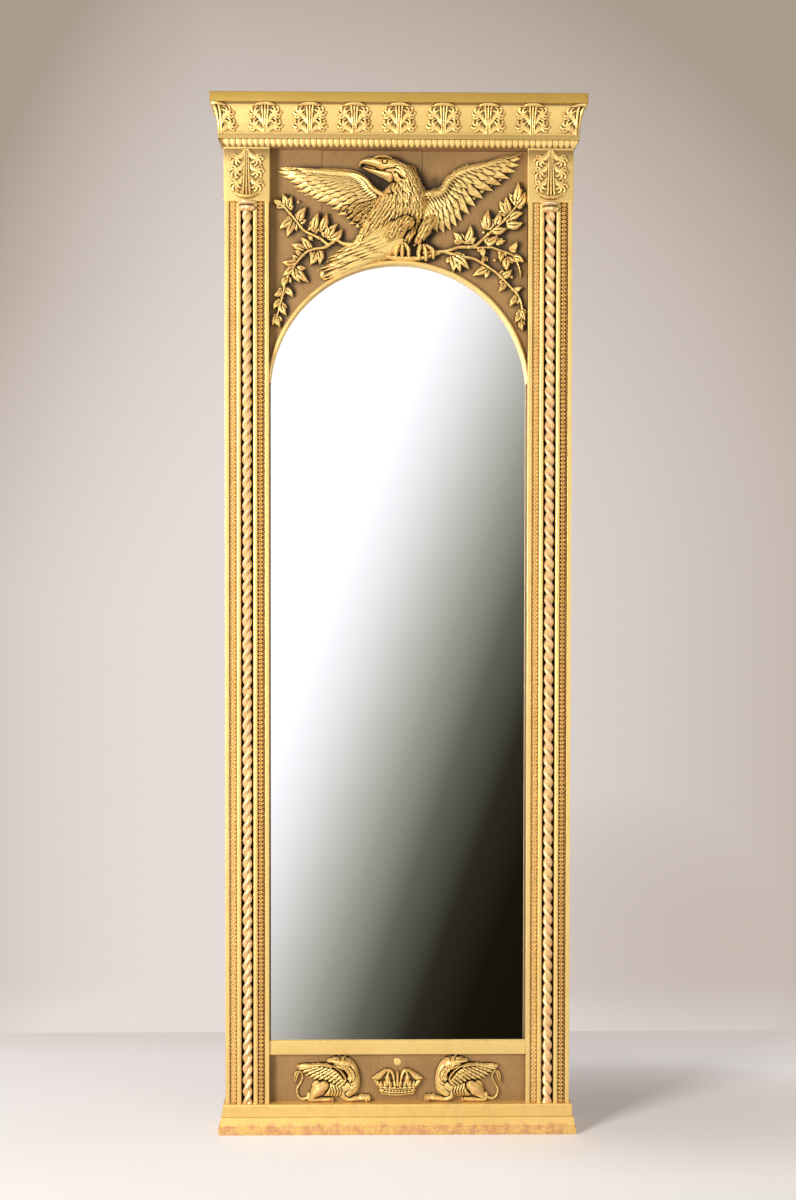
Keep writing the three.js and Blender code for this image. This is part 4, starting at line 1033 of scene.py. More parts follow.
@dataclass
class Relief:
    """A carving as a height field over an upright patch, in millimetres above its ground."""

    x_low: float
    x_high: float
    z_low: float
    z_high: float
    cell: float = 1.1
    skirt: float = 1.0
    steep: float = 4.5
    fine_window: float = 2.2
    fine_rise: float = 0.9
    wide_window: float = 7.0
    wide_rise: float = 6.0
    contrast: float = 1.3
    x: Grid = field(init=False)
    z: Grid = field(init=False)
    height: Grid = field(init=False)
    base: Grid = field(init=False)

    def __post_init__(self) -> None:
        """Lays the grid out with nothing carved."""
        columns = np.arange(self.x_low, self.x_high + self.cell / 2, self.cell)
        rows = np.arange(self.z_low, self.z_high + self.cell / 2, self.cell)
        self.x, self.z = np.meshgrid(columns, rows)
        self.height = np.full(self.x.shape, -self.skirt)
        self.base = np.zeros(self.x.shape)

    def settle(self, softness: float = 0.0) -> None:
        """Takes what is carved so far as the form that later strokes lie on, softened over a distance."""
        self.base = np.maximum(self.height, 0.0)
        if softness > 0:
            self.base = box_blurred(self.base, max(1, round(softness / self.cell)))

    def _window(self, curve: Grid, margin: float) -> tuple[slice, slice]:
        """The grid cells within a margin of a curve.

        Args:
            curve: The curve's points.
            margin: The margin.

        Returns:
            The rows and the columns.
        """
        low, high = curve.min(axis=0) - margin, curve.max(axis=0) + margin
        spans = []
        for axis, start, count in ((0, self.x_low, self.x.shape[1]), (1, self.z_low, self.x.shape[0])):
            first = int(np.clip((low[axis] - start) // self.cell, 0, count))
            last = int(np.clip((high[axis] - start) // self.cell + 2, 0, count))
            spans.append(slice(first, last))
        return spans[1], spans[0]

    def _measure(self, curve: Grid, window: tuple[slice, slice]) -> tuple[Grid, Grid]:
        """Signed distance from a curve and share of its length at the nearest point, for a window's cells.

        The nearest point of each piece of the curve is its start plus clip(((p - start) . way) / way^2, 0, 1)
        times its way, and the least distance over all pieces counts.

        Args:
            curve: The curve's points.
            window: Rows and columns of cells.

        Returns:
            The distance, positive on the left of the way, and the share of the length.
        """
        way = np.diff(curve, axis=0)
        lengths = np.maximum(np.hypot(way[:, 0], way[:, 1]), 1e-6)
        starts = np.concatenate([[0], np.cumsum(lengths)[:-1]])
        dx = self.x[window][..., None] - curve[:-1, 0]
        dz = self.z[window][..., None] - curve[:-1, 1]
        t = np.clip((dx * way[:, 0] + dz * way[:, 1]) / lengths**2, 0, 1)
        square = (dx - t * way[:, 0]) ** 2 + (dz - t * way[:, 1]) ** 2
        nearest = np.argmin(square, axis=-1)[..., None]

        def pick(values: Grid) -> Grid:
            """The value of each cell's nearest piece."""
            return np.take_along_axis(values, nearest, axis=-1)[..., 0]

        side = np.sign(pick(way[:, 0] * dz - way[:, 1] * dx) + 1e-9)
        along = pick(starts + t * lengths) / lengths.sum()
        return side * np.sqrt(pick(square)), along

    def stroke(
        self,
        path: Sequence[Sequence[float]],
        half: Sequence[float],
        rise: Sequence[float],
        section: Section = Section.ROUND,
        lift: Sequence[float] = (0.0, 0.0),
        tilt: float = 0.0,
        pitch: float = 2.6,
        seated: bool = False,
    ) -> None:
        """Adds one stroke; where strokes cross, the higher shows.

        Its height is lift + rise * shape(distance / half width). Outside its edge it falls steeply. A round
        section is sqrt(1 - u^2), a feather is a low crown with a quill ridge and slanted barb cuts, a leaf is
        a crown folded on its midrib and a gutter is hollow along its middle.

        Args:
            path: Points (x, z) that the stroke runs through.
            half: Half widths, evenly spaced along it.
            rise: Rises, evenly spaced along it.
            section: Its shape across.
            lift: Heights of its edge, evenly spaced along it.
            tilt: Millimetres that its left edge stands above its right.
            pitch: Spacing of the barb cuts.
            seated: Whether it lies on the settled form and not on the ground.
        """
        curve = smooth_path(path)
        window = self._window(curve, max(half) + (max(rise) + max(lift)) / self.steep + 2 * self.cell)
        if self.x[window].size == 0:
            return
        distance, along = self._measure(curve, window)
        width, top, edge = np.maximum(spread(half, along), 0.05), spread(rise, along), spread(lift, along)
        u = np.clip(np.abs(distance) / width, 0, 1)
        crown = np.sqrt(1 - u**2)
        if section is Section.FEATHER:
            length = np.hypot(*np.diff(curve, axis=0).T).sum()
            barbs = np.cos(2 * np.pi * (along * length - np.abs(distance) * 0.9) / pitch)
            quill = np.exp(-((distance / 0.55) ** 2))
            crown = 0.4 + 0.6 * crown + 0.3 * quill + 0.22 * barbs * (u > 0.12) * (1 - u**6)
        elif section is Section.LEAF:
            crease = np.exp(-((distance / (0.16 * width + 0.3)) ** 2))
            crown = 0.35 + 0.75 * np.sin(np.pi * np.clip(0.16 + 0.84 * u, 0, 1)) - 0.2 * crease
        elif section is Section.GUTTER:
            crown = 0.3 + 0.7 * np.sin(np.pi * np.clip(u, 0, 1) ** 1.6)
        past = np.maximum(np.abs(distance) - width, 0)
        value = edge + top * crown + tilt * distance / width * (past == 0) - past * self.steep
        if seated:
            value = value + self.base[window]
        self.height[window] = np.maximum(self.height[window], value)

    def bead(self, x: float, z: float, radius: float, rise: float, seated: bool = False) -> None:
        """Adds a round boss."""
        self.stroke([(x - 0.01, z), (x + 0.01, z)], [radius, radius], [rise, rise], seated=seated)

    def cut(self, path: Sequence[Sequence[float]], half: Sequence[float], depth: float) -> None:
        """Cuts a groove: the height falls by depth * exp(-(distance / half width)^2), down to the skirt.

        Args:
            path: Points (x, z) that the groove runs through.
            half: Half widths, evenly spaced along it.
            depth: Its depth.
        """
        curve = smooth_path(path)
        window = self._window(curve, max(half) * 2.6)
        if self.x[window].size == 0:
            return
        distance, along = self._measure(curve, window)
        fall = depth * np.exp(-((distance / np.maximum(spread(half, along), 0.1)) ** 2))
        self.height[window] = np.maximum(self.height[window] - fall, -self.skirt)

    def pit(self, x: float, z: float, radius: float, depth: float, run: float = 0.3) -> None:
        """Cuts a round pit, or a short groove when it runs further to both sides."""
        self.cut([(x - run, z), (x + run, z)], [radius, radius], depth)

    def swell(self, outline: Sequence[Sequence[float]], rise: float, reach: float) -> None:
        """Adds a swollen form inside a closed outline: rise * sqrt(1 - (1 - d / reach)^2) at distance d in.

        Args:
            outline: Its points in turn.
            rise: Its height inside.
            reach: Distance over which its edge rounds over.
        """
        curve = smooth_path([*outline, outline[0]])
        window = self._window(curve, 2 * self.cell)
        distance, _ = self._measure(curve, window)
        x, z = self.x[window][..., None], self.z[window][..., None]
        x0, z0, x1, z1 = curve[:-1, 0], curve[:-1, 1], curve[1:, 0], curve[1:, 1]
        spans = (z0 > z) != (z1 > z)
        gap = np.where(z1 == z0, 1e-9, z1 - z0)
        inside = (np.sum(spans & (x < (x1 - x0) * (z - z0) / gap + x0), axis=-1) % 2).astype(bool)
        depth = np.clip(np.abs(distance) / reach, 0, 1)
        value = np.where(inside, rise * np.sqrt(1 - (1 - depth) ** 2), -np.abs(distance) * self.steep)
        self.height[window] = np.maximum(self.height[window], value)

    def surface(self, mapping: Callable[[Grid, Grid, Grid], Grid]) -> Surface:
        """A closed surface of the carved cells: the carved face, a flat back and a wall round every rim.

        Relief is contrast * (height less its mean over a small window / fine rise + the same over a wider one
        / wide rise), so crests are positive.

        Args:
            mapping: Turns places across, up and above the ground into points of the frame.

        Returns:
            The surface.
        """
        rows, columns = self.x.shape
        top = np.maximum(self.height, -self.skirt)
        above = top > 0
        kept = above[:-1, :-1] | above[:-1, 1:] | above[1:, :-1] | above[1:, 1:]
        level = np.maximum(top, 0)
        fine = (level - box_blurred(level, max(1, round(self.fine_window / self.cell)))) / self.fine_rise
        wide = (level - box_blurred(level, max(2, round(self.wide_window / self.cell)))) / self.wide_rise
        relief = np.clip(self.contrast * (fine + wide), -2, 1)
        cells = lattice(rows, columns)[kept.ravel()]
        used = np.unique(cells)
        place_of = np.full(rows * columns, -1)
        place_of[used] = np.arange(len(used))
        face = place_of[cells]
        count = len(used)
        x, z = self.x.ravel()[used], self.z.ravel()[used]
        front = mapping(x, z, top.ravel()[used])
        back = mapping(x, z, np.full(count, -self.skirt - 0.3))
        padded = np.pad(kept, 1)
        walls = []
        for down, right, first, second in ((-1, 0, 0, 1), (0, 1, 1, 2), (1, 0, 2, 3), (0, -1, 3, 0)):
            beside = padded[1 + down : rows + down, 1 + right : columns + right]
            rim = face[~beside[kept]]
            a, b = rim[:, first], rim[:, second]
            walls.append(np.stack([b, a, a + count, b + count], axis=-1))
        points = np.concatenate([front, back])
        faces = [np.concatenate([face, face[:, ::-1] + count, *walls])]
        return outward(Surface(points, faces, np.concatenate([relief.ravel()[used], np.full(count, -1.0)])))


def on_ground(depth: float) -> Callable[[Grid, Grid, Grid], Grid]:
    """A mapping that lays a carving on an upright ground at a depth."""
    return lambda x, z, height: place(x, depth + height, z)


# ---------------------------------------------------------------- eagle panel
def along_line(line: Grid, share: float) -> Grid:
    """The point at a share of a line's points, between its two nearest."""
    reach = share * (len(line) - 1)
    k = min(int(reach), len(line) - 2)
    return line[k] * (1 - reach + k) + line[k + 1] * (reach - k)


@dataclass
class EaglePanel:
    """The eagle with spread wings on two leafy branches, over the arch, with the arch's fillet.

    Each pocket of shade beside the eagle's neck has its x, z, two reaches and strength.
    """

    half: float = 297.8
    crown: float = 2018.5
    radius: float = 297.5
    fillet: float = 9.0
    ground: float = 66.0
    proudest: float = 57.4
    plate_front: float = 54.0
    fillet_front: float = 75.0
    tail_height: float = 23.0
    head_top: float = 2268.0
    grown_over: float = 8.0
    painted_shadow_cell: float = 3.0
    board_gap: float = 0.45
    ground_height: float = 600.0
    pockets: tuple[tuple[float, ...], ...] = ((-32.0, 2200.0, 17.0, 17.0, 1.0),
                                              (84.0, 2212.0, 15.0, 18.0, 0.8))
    seed: int = 11

    def canvas(self, x_low: float, x_high: float, z_low: float, z_high: float, cell: float = 1.1) -> Relief:
        """An empty relief that stays between the pilasters."""
        return Relief(max(x_low, -self.half), min(x_high, self.half), z_low, z_high, cell)

    def surface(self, relief: Relief) -> Surface:
        """The relief on the eagle's ground, clear of the arch's opening and no prouder than the CAD.

        Args:
            relief: The carving.

        Returns:
            The carving's surface.
        """
        spring = self.crown - self.radius
        opening = (np.hypot(relief.x, relief.z - spring) < self.radius + 1.0) & (relief.z > spring)
        relief.height = np.where(opening, -relief.skirt, np.minimum(relief.height, self.proudest))
        return relief.surface(on_ground(self.ground))

    def hackles(
        self,
        relief: Relief,
        flow: Sequence[Sequence[float]],
        tuft: tuple[float, float, float, float],
        area: Callable[[float, float], bool],
        waved: bool = False,
    ) -> None:
        """Covers part of the settled form with overlapping tufts that follow a flow.

        Roots stand on a jittered lattice; each tuft's way is the mean of the flow's ways, weighted by
        1 / (distance^2 + 9) from their places. A waved tuft swings further to one side and back.

        Args:
            relief: The carving, with its settled form.
            flow: Places and ways as (x, z, degrees).
            tuft: Spacing of the roots, and a tuft's length, half width and rise.
            area: Whether a place is covered.
            waved: Whether the tufts wave.
        """
        spacing, length, half, rise = tuft
        draw = np.random.default_rng(self.seed)
        anchors = np.array(flow, float)
        ways = np.radians(anchors[:, 2])
        columns = np.arange(relief.x_low, relief.x_high, spacing)
        for row, z in enumerate(np.arange(relief.z_low, relief.z_high, spacing * 0.85)):
            for x in columns + (row % 2) * spacing / 2:
                px, pz = x + draw.normal(0, spacing * 0.1), z + draw.normal(0, spacing * 0.1)
                curl = draw.uniform(0.3, 0.6) * draw.choice([-1, 1])
                size, lift = draw.uniform(0.85, 1.15), draw.uniform(0, 0.9)
                column = int(np.clip((px - relief.x_low) / relief.cell, 0, relief.x.shape[1] - 1))
                at_row = int(np.clip((pz - relief.z_low) / relief.cell, 0, relief.x.shape[0] - 1))
                if relief.base[at_row, column] < self.grown_over or not area(px, pz):
                    continue
                weight = 1 / ((anchors[:, 0] - px) ** 2 + (anchors[:, 1] - pz) ** 2 + 9.0)
                way = math.atan2((weight * np.sin(ways)).sum(), (weight * np.cos(ways)).sum())
                swing = curl if waved else curl * 0.3
                path = [np.array([px, pz])]
                for turn in (way + swing, way, way - swing):
                    path.append(path[-1] + length * size / 3 * np.array([math.cos(turn), math.sin(turn)]))
                shape = Section.ROUND if waved else Section.FEATHER
                relief.stroke(path, [half * 0.7, half, half, half * 0.75, 0.4], [rise] * 2, shape,
                              (0.0, 1.0 + lift, 2.6 + lift), tilt=0.7, pitch=3.2, seated=True)

    def feather_rows(
        self,
        relief: Relief,
        roots: Sequence[Sequence[float]],
        tips: Sequence[Sequence[float]],
        rows: Sequence[tuple[int, float, float, float, tuple[float, float], float, float]],
    ) -> None:
        """Rows of feathers from a root line towards a tip line, the longest row first.

        Args:
            relief: The carving.
            roots: Points of the root line.
            tips: Points of the tip line.
            rows: For each row its number of feathers, the shares of the way from root to tip where they start
                and end, a feather's half width, the heights of its edge at root and tip, how far its leading
                edge stands above the other, and the spread of the tips' places.
        """
        root_line, tip_line = smooth_path(roots), smooth_path(tips)
        for count, first, last, half, lift, tilt, ragged in rows:
            draw = np.random.default_rng(self.seed + count)
            for k in range(count):
                share = (k + 0.5) / count
                root, tip = along_line(root_line, share), along_line(tip_line, share)
                reach = last * (1 + draw.normal(0, ragged))
                start, end = root + (tip - root) * first, root + (tip - root) * reach
                bow = np.array([-(end - start)[1], (end - start)[0]]) * 0.05
                path = [start, start * 0.5 + end * 0.5 + bow, end]
                relief.stroke(path, [half * 0.75, half, half * 1.05, half * 0.95, half * 0.55, 0.3],
                              [2.2, 2.4, 2.2, 1.4], Section.FEATHER, lift, tilt=tilt, seated=True)

    def body(self) -> Surface:
        """Head, neck, breast, thighs and feet: swollen forms covered with hackles, a bare beak and bare toes.

        Returns:
            The eagle's body.
        """
        relief = self.canvas(-108, 96, self.crown + 1, self.head_top, 0.9)
        relief.stroke([(-22, 2238), (6, 2224), (20, 2198), (24, 2166), (18, 2130), (4, 2100), (-18, 2074)],
                      [20, 27, 34, 42, 46, 40, 26], [28, 34, 38, 41, 39, 33, 22])
        relief.stroke([(8, 2182), (-14, 2152), (-40, 2120), (-64, 2092), (-84, 2072)], [34, 42, 36, 28, 18],
                      [33, 34, 27, 21, 16])
        relief.settle(2.5)
        flow = [
            (-20, 2256, -18), (4, 2248, -30), (26, 2232, -50), (48, 2205, -68), (60, 2170, -86),
            (-6, 2222, -40), (10, 2205, -60), (-8, 2195, -78), (30, 2180, -82), (-24, 2168, -112),
            (10, 2150, -104), (52, 2135, -96), (-34, 2134, -128), (24, 2120, -104), (-60, 2108, -138),
            (-20, 2090, -142), (-84, 2080, -146),
        ]
        self.hackles(relief, flow, (9.0, 17.0, 4.1, 5.0), lambda x, z: z < 2176)
        self.hackles(relief, flow, (8.8, 27.0, 3.8, 6.4),
                     lambda x, z: z >= 2170 and x > -16 + (2225 - z) * 0.1, waved=True)
        self.thighs(relief)
        self.head(relief)
        self.feet(relief)
        return self.surface(relief)

    def thighs(self, relief: Relief) -> None:
        """Two feathered thighs that stand out from the breast, the near one large and oval.

        Args:
            relief: The carving.
        """
        forms = (
            ([(74, 2118), (60, 2096), (46, 2072)], [16, 16, 10], [33, 34, 24], (60, 2096, 30, 34), -116),
            ([(20, 2112), (0, 2098), (-26, 2076)], [20, 27, 18], [46, 48, 33], (-2, 2096, 46, 40), -138),
        )
        for path, half, rise, (x0, z0, reach_x, reach_z), way in forms:
            line = smooth_path(path)
            relief.cut(line, [half[0] + 6, half[1] + 6, half[2] + 4], 14)
            before = relief.height.copy()
            relief.stroke(path, half, rise)
            form = relief.height > before
            relief.base = np.where(form, relief.height, 0.0)
            self.hackles(relief, [(x0, z0, way)], (9.0, 15.0, 3.7, 5.6),
                         lambda x, z: ((x - x0) / reach_x) ** 2 + ((z - z0) / reach_z) ** 2 < 1)

    def head(self, relief: Relief) -> None:
        """The bare short beak, open on a tongue, with the brow, ringed eye and smooth cheek.

        Args:
            relief: The carving.
        """
        relief.stroke([(-12, 2241), (-30, 2245), (-46, 2247)], [19, 17, 14], [33, 33, 29])
        relief.stroke([(-44, 2247), (-62, 2251.5), (-77, 2253), (-87, 2249.5), (-90, 2242)],
                      [14, 11, 8.2, 5.6, 1.4], [30, 28, 24, 18, 10], lift=(2, 2))
        relief.stroke([(-20, 2220), (-42, 2225), (-60, 2231), (-73, 2235.5), (-81, 2239)],
                      [14, 8.5, 5.8, 4.0, 1.4], [29, 25, 21, 17, 11], lift=(2, 2))
        relief.cut([(-85, 2244.5), (-72, 2242), (-56, 2237), (-40, 2231)], [2.2, 3.0, 2.7, 1.2], 34)
        relief.stroke([(-54, 2236.8), (-66, 2240.2), (-77, 2244)], [1.2, 1.4, 0.7], [14, 13, 11])
        relief.cut([(-68, 2254), (-61, 2253)], [1.2, 1.2], 5)
        relief.stroke([(-58, 2257), (-46, 2261), (-32, 2261.5), (-16, 2256)], [2.2, 3.2, 3.2, 1.6],
                      [30, 35, 36, 33])
        relief.bead(-32, 2248.5, 8.8, 37.5)
        ring = [(-32 + 5.8 * math.cos(a), 2248.5 + 5.4 * math.sin(a)) for a in np.linspace(0, 2 * np.pi, 9)]
        relief.cut(ring, [1.1, 1.1], 6)
        relief.bead(-32, 2248.5, 3.6, 39.0)
        relief.pit(-32.3, 2248.5, 1.1, 4.5, 0.7)
        relief.stroke([(-26, 2229), (-12, 2229), (-2, 2234)], [7, 10, 5], [31, 36.5, 35])

    def feet(self, relief: Relief) -> None:
        """Two feet of thick knuckled toes closed round the branch, which runs on under both.

        Args:
            relief: The carving.
        """
        relief.stroke([(-56, 2042), (-14, 2033.5), (30, 2031.5), (60, 2034), (92, 2044.5)],
                      [4.6, 5.4, 5.6, 5.4, 4.8], [12, 14, 15, 15, 14])
        toes = (
            ((-6, 2064), (-18, 2054), (-21, 2042)), ((2, 2062), (-5, 2050), (-7, 2036)),
            ((8, 2062), (8, 2049), (8, 2034)), ((14, 2064), (22, 2052), (23, 2038)),
            ((50, 2060), (46, 2046), (47, 2031)), ((58, 2060), (62, 2046), (63, 2030)),
            ((64, 2060), (78, 2050), (80, 2035)),
        )
        for toe in toes:
            line = smooth_path(toe, 3)
            relief.stroke(toe, [5.0, 5.6, 4.6], [24, 25, 20])
            for k in (1, 3, 5):
                relief.bead(line[k][0], line[k][1], 6.4 - 0.3 * k, 27 - 1.0 * k)
            relief.stroke([line[-1], line[-1] + np.array([0.8, -6.0])], [4.0, 2.6, 0.5], [19, 13])

    def left_wing(self) -> Surface:
        """The wing on the left: a smooth shoulder ridge, tufts by the neck and rows of feathers to its tip.

        Returns:
            The wing.
        """
        relief = self.canvas(-292, 8, 2080, 2262)
        relief.swell([(-262, 2234), (-176, 2230), (-132, 2228), (-99, 2219), (-77, 2202),
                      (-62, 2184), (-30, 2150), (-40, 2108), (-84, 2106), (-116, 2132), (-150, 2156),
                      (-200, 2184), (-244, 2212)], 12, 34)
        relief.stroke([(-40, 2168), (-66, 2190), (-84, 2212), (-112, 2226), (-160, 2231), (-220, 2234)],
                      [14, 13, 11, 9, 7, 4], [17, 18, 16, 13, 10, 6])
        relief.settle(4.0)
        roots = [(-40, 2128), (-58, 2162), (-84, 2200), (-122, 2220), (-180, 2229)]
        tips = [(-78, 2092), (-104, 2106), (-124, 2122), (-152, 2143), (-178, 2162),
                (-214, 2172), (-238, 2186), (-260, 2206), (-277, 2228), (-285, 2244)]
        self.feather_rows(relief, roots, tips, (
            (16, 0.25, 1.0, 8.6, (1.0, 3.0), -0.8, 0.03), (16, 0.14, 0.76, 8.0, (2.2, 4.8), -0.8, 0.03),
            (18, 0.08, 0.56, 6.8, (3.2, 6.2), -0.7, 0.05), (21, 0.02, 0.4, 5.4, (4.0, 7.0), -0.6, 0.08),
            (25, -0.04, 0.25, 4.4, (4.4, 7.2), -0.4, 0.1), (30, -0.1, 0.12, 3.4, (4.6, 7.0), -0.3, 0.1),
        ))
        self.hackles(relief, [(-40, 2140, -138), (-70, 2160, -146), (-110, 2150, -150)],
                     (9.0, 17.0, 3.9, 9.0), lambda x, z: -118 < x < -26 and 2112 < z < 2176 + 0.2 * x)
        relief.stroke([(-26, 2170), (-44, 2178), (-62, 2190), (-76, 2207), (-96, 2220), (-120, 2227)],
                      [9, 8, 8, 7, 5, 2], [28, 29, 30, 28, 24, 18])
        relief.stroke([(-112, 2226), (-160, 2231.5), (-216, 2236), (-262, 2240)], [3.2, 3.0, 2.6, 1.2],
                      [19, 16, 12, 7])
        return self.surface(relief)

    def right_wing(self) -> Surface:
        """The wing on the right: a tufted arm ridge, rows of feathers with rounded ends and a curled tip.

        Returns:
            The wing.
        """
        relief = self.canvas(16, 292, 2076, 2280)
        relief.swell([(262, 2262), (196, 2248), (150, 2238), (118, 2216), (100, 2186),
                      (60, 2178), (30, 2140), (60, 2108), (100, 2102), (132, 2122), (166, 2158),
                      (206, 2192), (244, 2218)], 12, 32)
        relief.stroke([(44, 2168), (74, 2176), (100, 2184), (116, 2208), (140, 2229),
                       (190, 2246), (244, 2260)],
                      [11, 11, 11, 10, 9, 6, 3], [17, 17, 18, 17, 14, 10, 6])
        arm = [(46, 2170), (76, 2177), (99, 2184), (112, 2206), (128, 2224), (152, 2238)]
        relief.stroke(arm, [13, 12, 10, 8.5, 6.5, 3.0], [23, 25, 25, 24, 21, 16])
        relief.settle(4.0)
        roots = [(50, 2130), (70, 2156), (100, 2176), (122, 2208), (160, 2232), (200, 2244)]
        tips = [(70, 2092), (90, 2090), (108, 2094), (128, 2104), (146, 2118), (170, 2140), (188, 2166),
                (218, 2190), (246, 2208), (266, 2230), (280, 2250), (287, 2272)]
        self.feather_rows(relief, roots, tips, (
            (15, 0.2, 1.0, 9.2, (1.0, 3.2), 0.9, 0.02), (16, 0.12, 0.7, 8.4, (2.4, 5.0), 0.9, 0.03),
            (18, 0.05, 0.5, 6.8, (3.4, 6.2), 0.8, 0.05), (22, 0.0, 0.33, 5.2, (4.0, 7.0), 0.6, 0.08),
            (28, -0.08, 0.17, 3.8, (4.4, 7.0), 0.4, 0.08),
        ))
        arm_line = smooth_path(arm, 8)
        self.hackles(relief, [(60, 2176, 10), (104, 2194, 62), (150, 2238, 40)], (6.6, 9.0, 3.2, 3.2),
                     lambda x, z: np.hypot(arm_line[:, 0] - x, arm_line[:, 1] - z).min() < 11)
        relief.stroke([(150, 2238), (190, 2248), (236, 2258), (270, 2268), (286, 2274)],
                      [3.2, 3.0, 2.6, 2.4, 1.2], [18, 15, 12, 10, 9])
        return self.surface(relief)

    def tail(self) -> Surface:
        """Long parallel feathers that sweep down to the left over the arch.

        Returns:
            The tail.
        """
        relief = self.canvas(-196, 20, 1970, 2112)
        relief.stroke([(-10, 2086), (-60, 2058), (-108, 2030), (-148, 2005), (-170, 1994)],
                      [36, 37, 32, 25, 13], [24, 19, 15, 11, 7])
        relief.settle(3.0)
        roots = [(-40, 2112), (-26, 2090), (-10, 2070), (2, 2052)]
        tips = [(-112, 2064), (-146, 2046), (-170, 2026), (-186, 2006), (-186, 1990),
                (-164, 1985), (-132, 1996), (-96, 2012), (-62, 2026)]
        self.feather_rows(relief, roots, tips, (
            (12, 0.1, 1.0, 7.6, (1.2, 3.2), 0.7, 0.03), (11, 0.0, 0.78, 7.0, (2.6, 5.0), 0.7, 0.05),
            (10, -0.05, 0.56, 6.4, (3.6, 6.4), 0.6, 0.07), (10, -0.1, 0.36, 6.0, (4.4, 7.4), 0.6, 0.08),
        ))
        return self.surface(relief)

    def branch(self, stems: Sequence[Any], leaves: Sequence[Any], berries: Sequence[Any],
               bounds: tuple) -> Surface:
        """Knotty stems with leaves in threes, one long and two short, and a few berries.

        Args:
            stems: Point lists of the stems with their half widths.
            leaves: Root and tip of each leaf.
            berries: Places of the berries.
            bounds: Low and high x and z of the carving.

        Returns:
            The branch.
        """
        draw = np.random.default_rng(self.seed)
        relief = self.canvas(*bounds)
        for path, half in stems:
            relief.stroke(path, [half, half * 0.85, half * 0.6], [half * 2.6, half * 2.3, half * 2.0],
                          lift=(3, 2))
            for share in np.linspace(0.08, 0.9, 6):
                relief.bead(*along_line(smooth_path(path), share), half * 1.25, half * 2.8 + 2)
        for (x0, z0), (x1, z1) in leaves:
            root, way = np.array([x0, z0], float), np.array([x1 - x0, z1 - z0], float)
            length = np.hypot(*way)
            bow = np.array([-way[1], way[0]]) * draw.uniform(-0.13, 0.13)
            half = float(np.clip(length * 0.25, 5.0, 9.0)) * draw.uniform(0.92, 1.1)
            high = draw.uniform(5.5, 10.0)
            widths = [0.8, half * 0.82, half, half * 0.82, half * 0.45, 0.2]
            relief.stroke([root, root + way * 0.5 + bow, root + way], widths,
                          [3.0, 4.6, 4.6, 3.4], Section.LEAF, (3.0, high, high + 1.5, high - 1.0),
                          tilt=draw.uniform(-1, 1))
            for turn, share in ((draw.uniform(0.5, 0.85), 0.6), (-draw.uniform(0.55, 0.9), 0.5)):
                spin = np.array([[math.cos(turn), -math.sin(turn)], [math.sin(turn), math.cos(turn)]])
                small = spin @ way * share
                relief.stroke([root, root + small * 0.55, root + small],
                              [0.8, half * 0.7, half * 0.75, half * 0.5, 0.2], [2.6, 3.6, 3.0],
                              Section.LEAF, (2.0, 3.6, 4.4, 3.0))
        for x, z in berries:
            relief.bead(x, z, 4.2, 12)
            relief.pit(x, z, 0.8, 2, 0.4)
        return self.surface(relief)

    def right_branch(self) -> Surface:
        """The branch on the right, from the talons out to the pilaster and down beside the arch.

        Returns:
            The branch.
        """
        stems = [
            ([(58, 2044), (90, 2047), (116, 2050), (139, 2058), (174, 2060), (203, 2084),
              (232, 2109), (254, 2131), (274, 2158), (284, 2190)], 4.25),
            ([(104, 2048), (125, 2042), (148, 2036), (176, 2031), (206, 2013), (226, 2000),
              (241, 1985), (257, 1969), (279, 1943), (287, 1910), (284, 1884)], 3.75),
            ([(170, 2058), (190, 2057), (214, 2058), (232, 2052), (254, 2045), (268, 2036), (280, 2008),
              (282, 1990)], 3.0),
        ]
        leaves = [
            ((143, 2066), (128, 2091)), ((154, 2066), (166, 2109)), ((166, 2066), (179, 2081)),
            ((207, 2099), (207, 2144)), ((224, 2106), (234, 2139)), ((252, 2132), (232, 2166)),
            ((256, 2132), (248, 2174)), ((270, 2157), (276, 2208)), ((272, 2150), (292, 2186)),
            ((256, 2123), (288, 2137)), ((250, 2112), (288, 2115)), ((212, 2099), (250, 2101)),
            ((225, 2070), (247, 2074)), ((203, 2066), (230, 2086)), ((261, 2048), (274, 2072)),
            ((252, 2037), (250, 2004)), ((265, 2037), (290, 2024)), ((121, 2041), (163, 2008)),
            ((121, 2035), (126, 2001)), ((132, 2028), (143, 2001)), ((203, 2037), (194, 2019)),
            ((208, 2010), (172, 1992)), ((236, 1990), (262, 2006)), ((246, 1980), (232, 1956)),
            ((268, 1956), (286, 1966)), ((276, 1944), (258, 1922)), ((284, 1916), (294, 1890)),
            ((284, 1906), (270, 1884)), ((284, 1890), (288, 1866)), ((190, 2058), (196, 2034)),
            ((240, 2050), (236, 2024)),
        ]
        berries = [(196, 2092), (238, 2076), (222, 2028), (262, 1990), (150, 2040)]
        return self.branch(stems, leaves, berries, (52, 297.8, 1856, 2222))

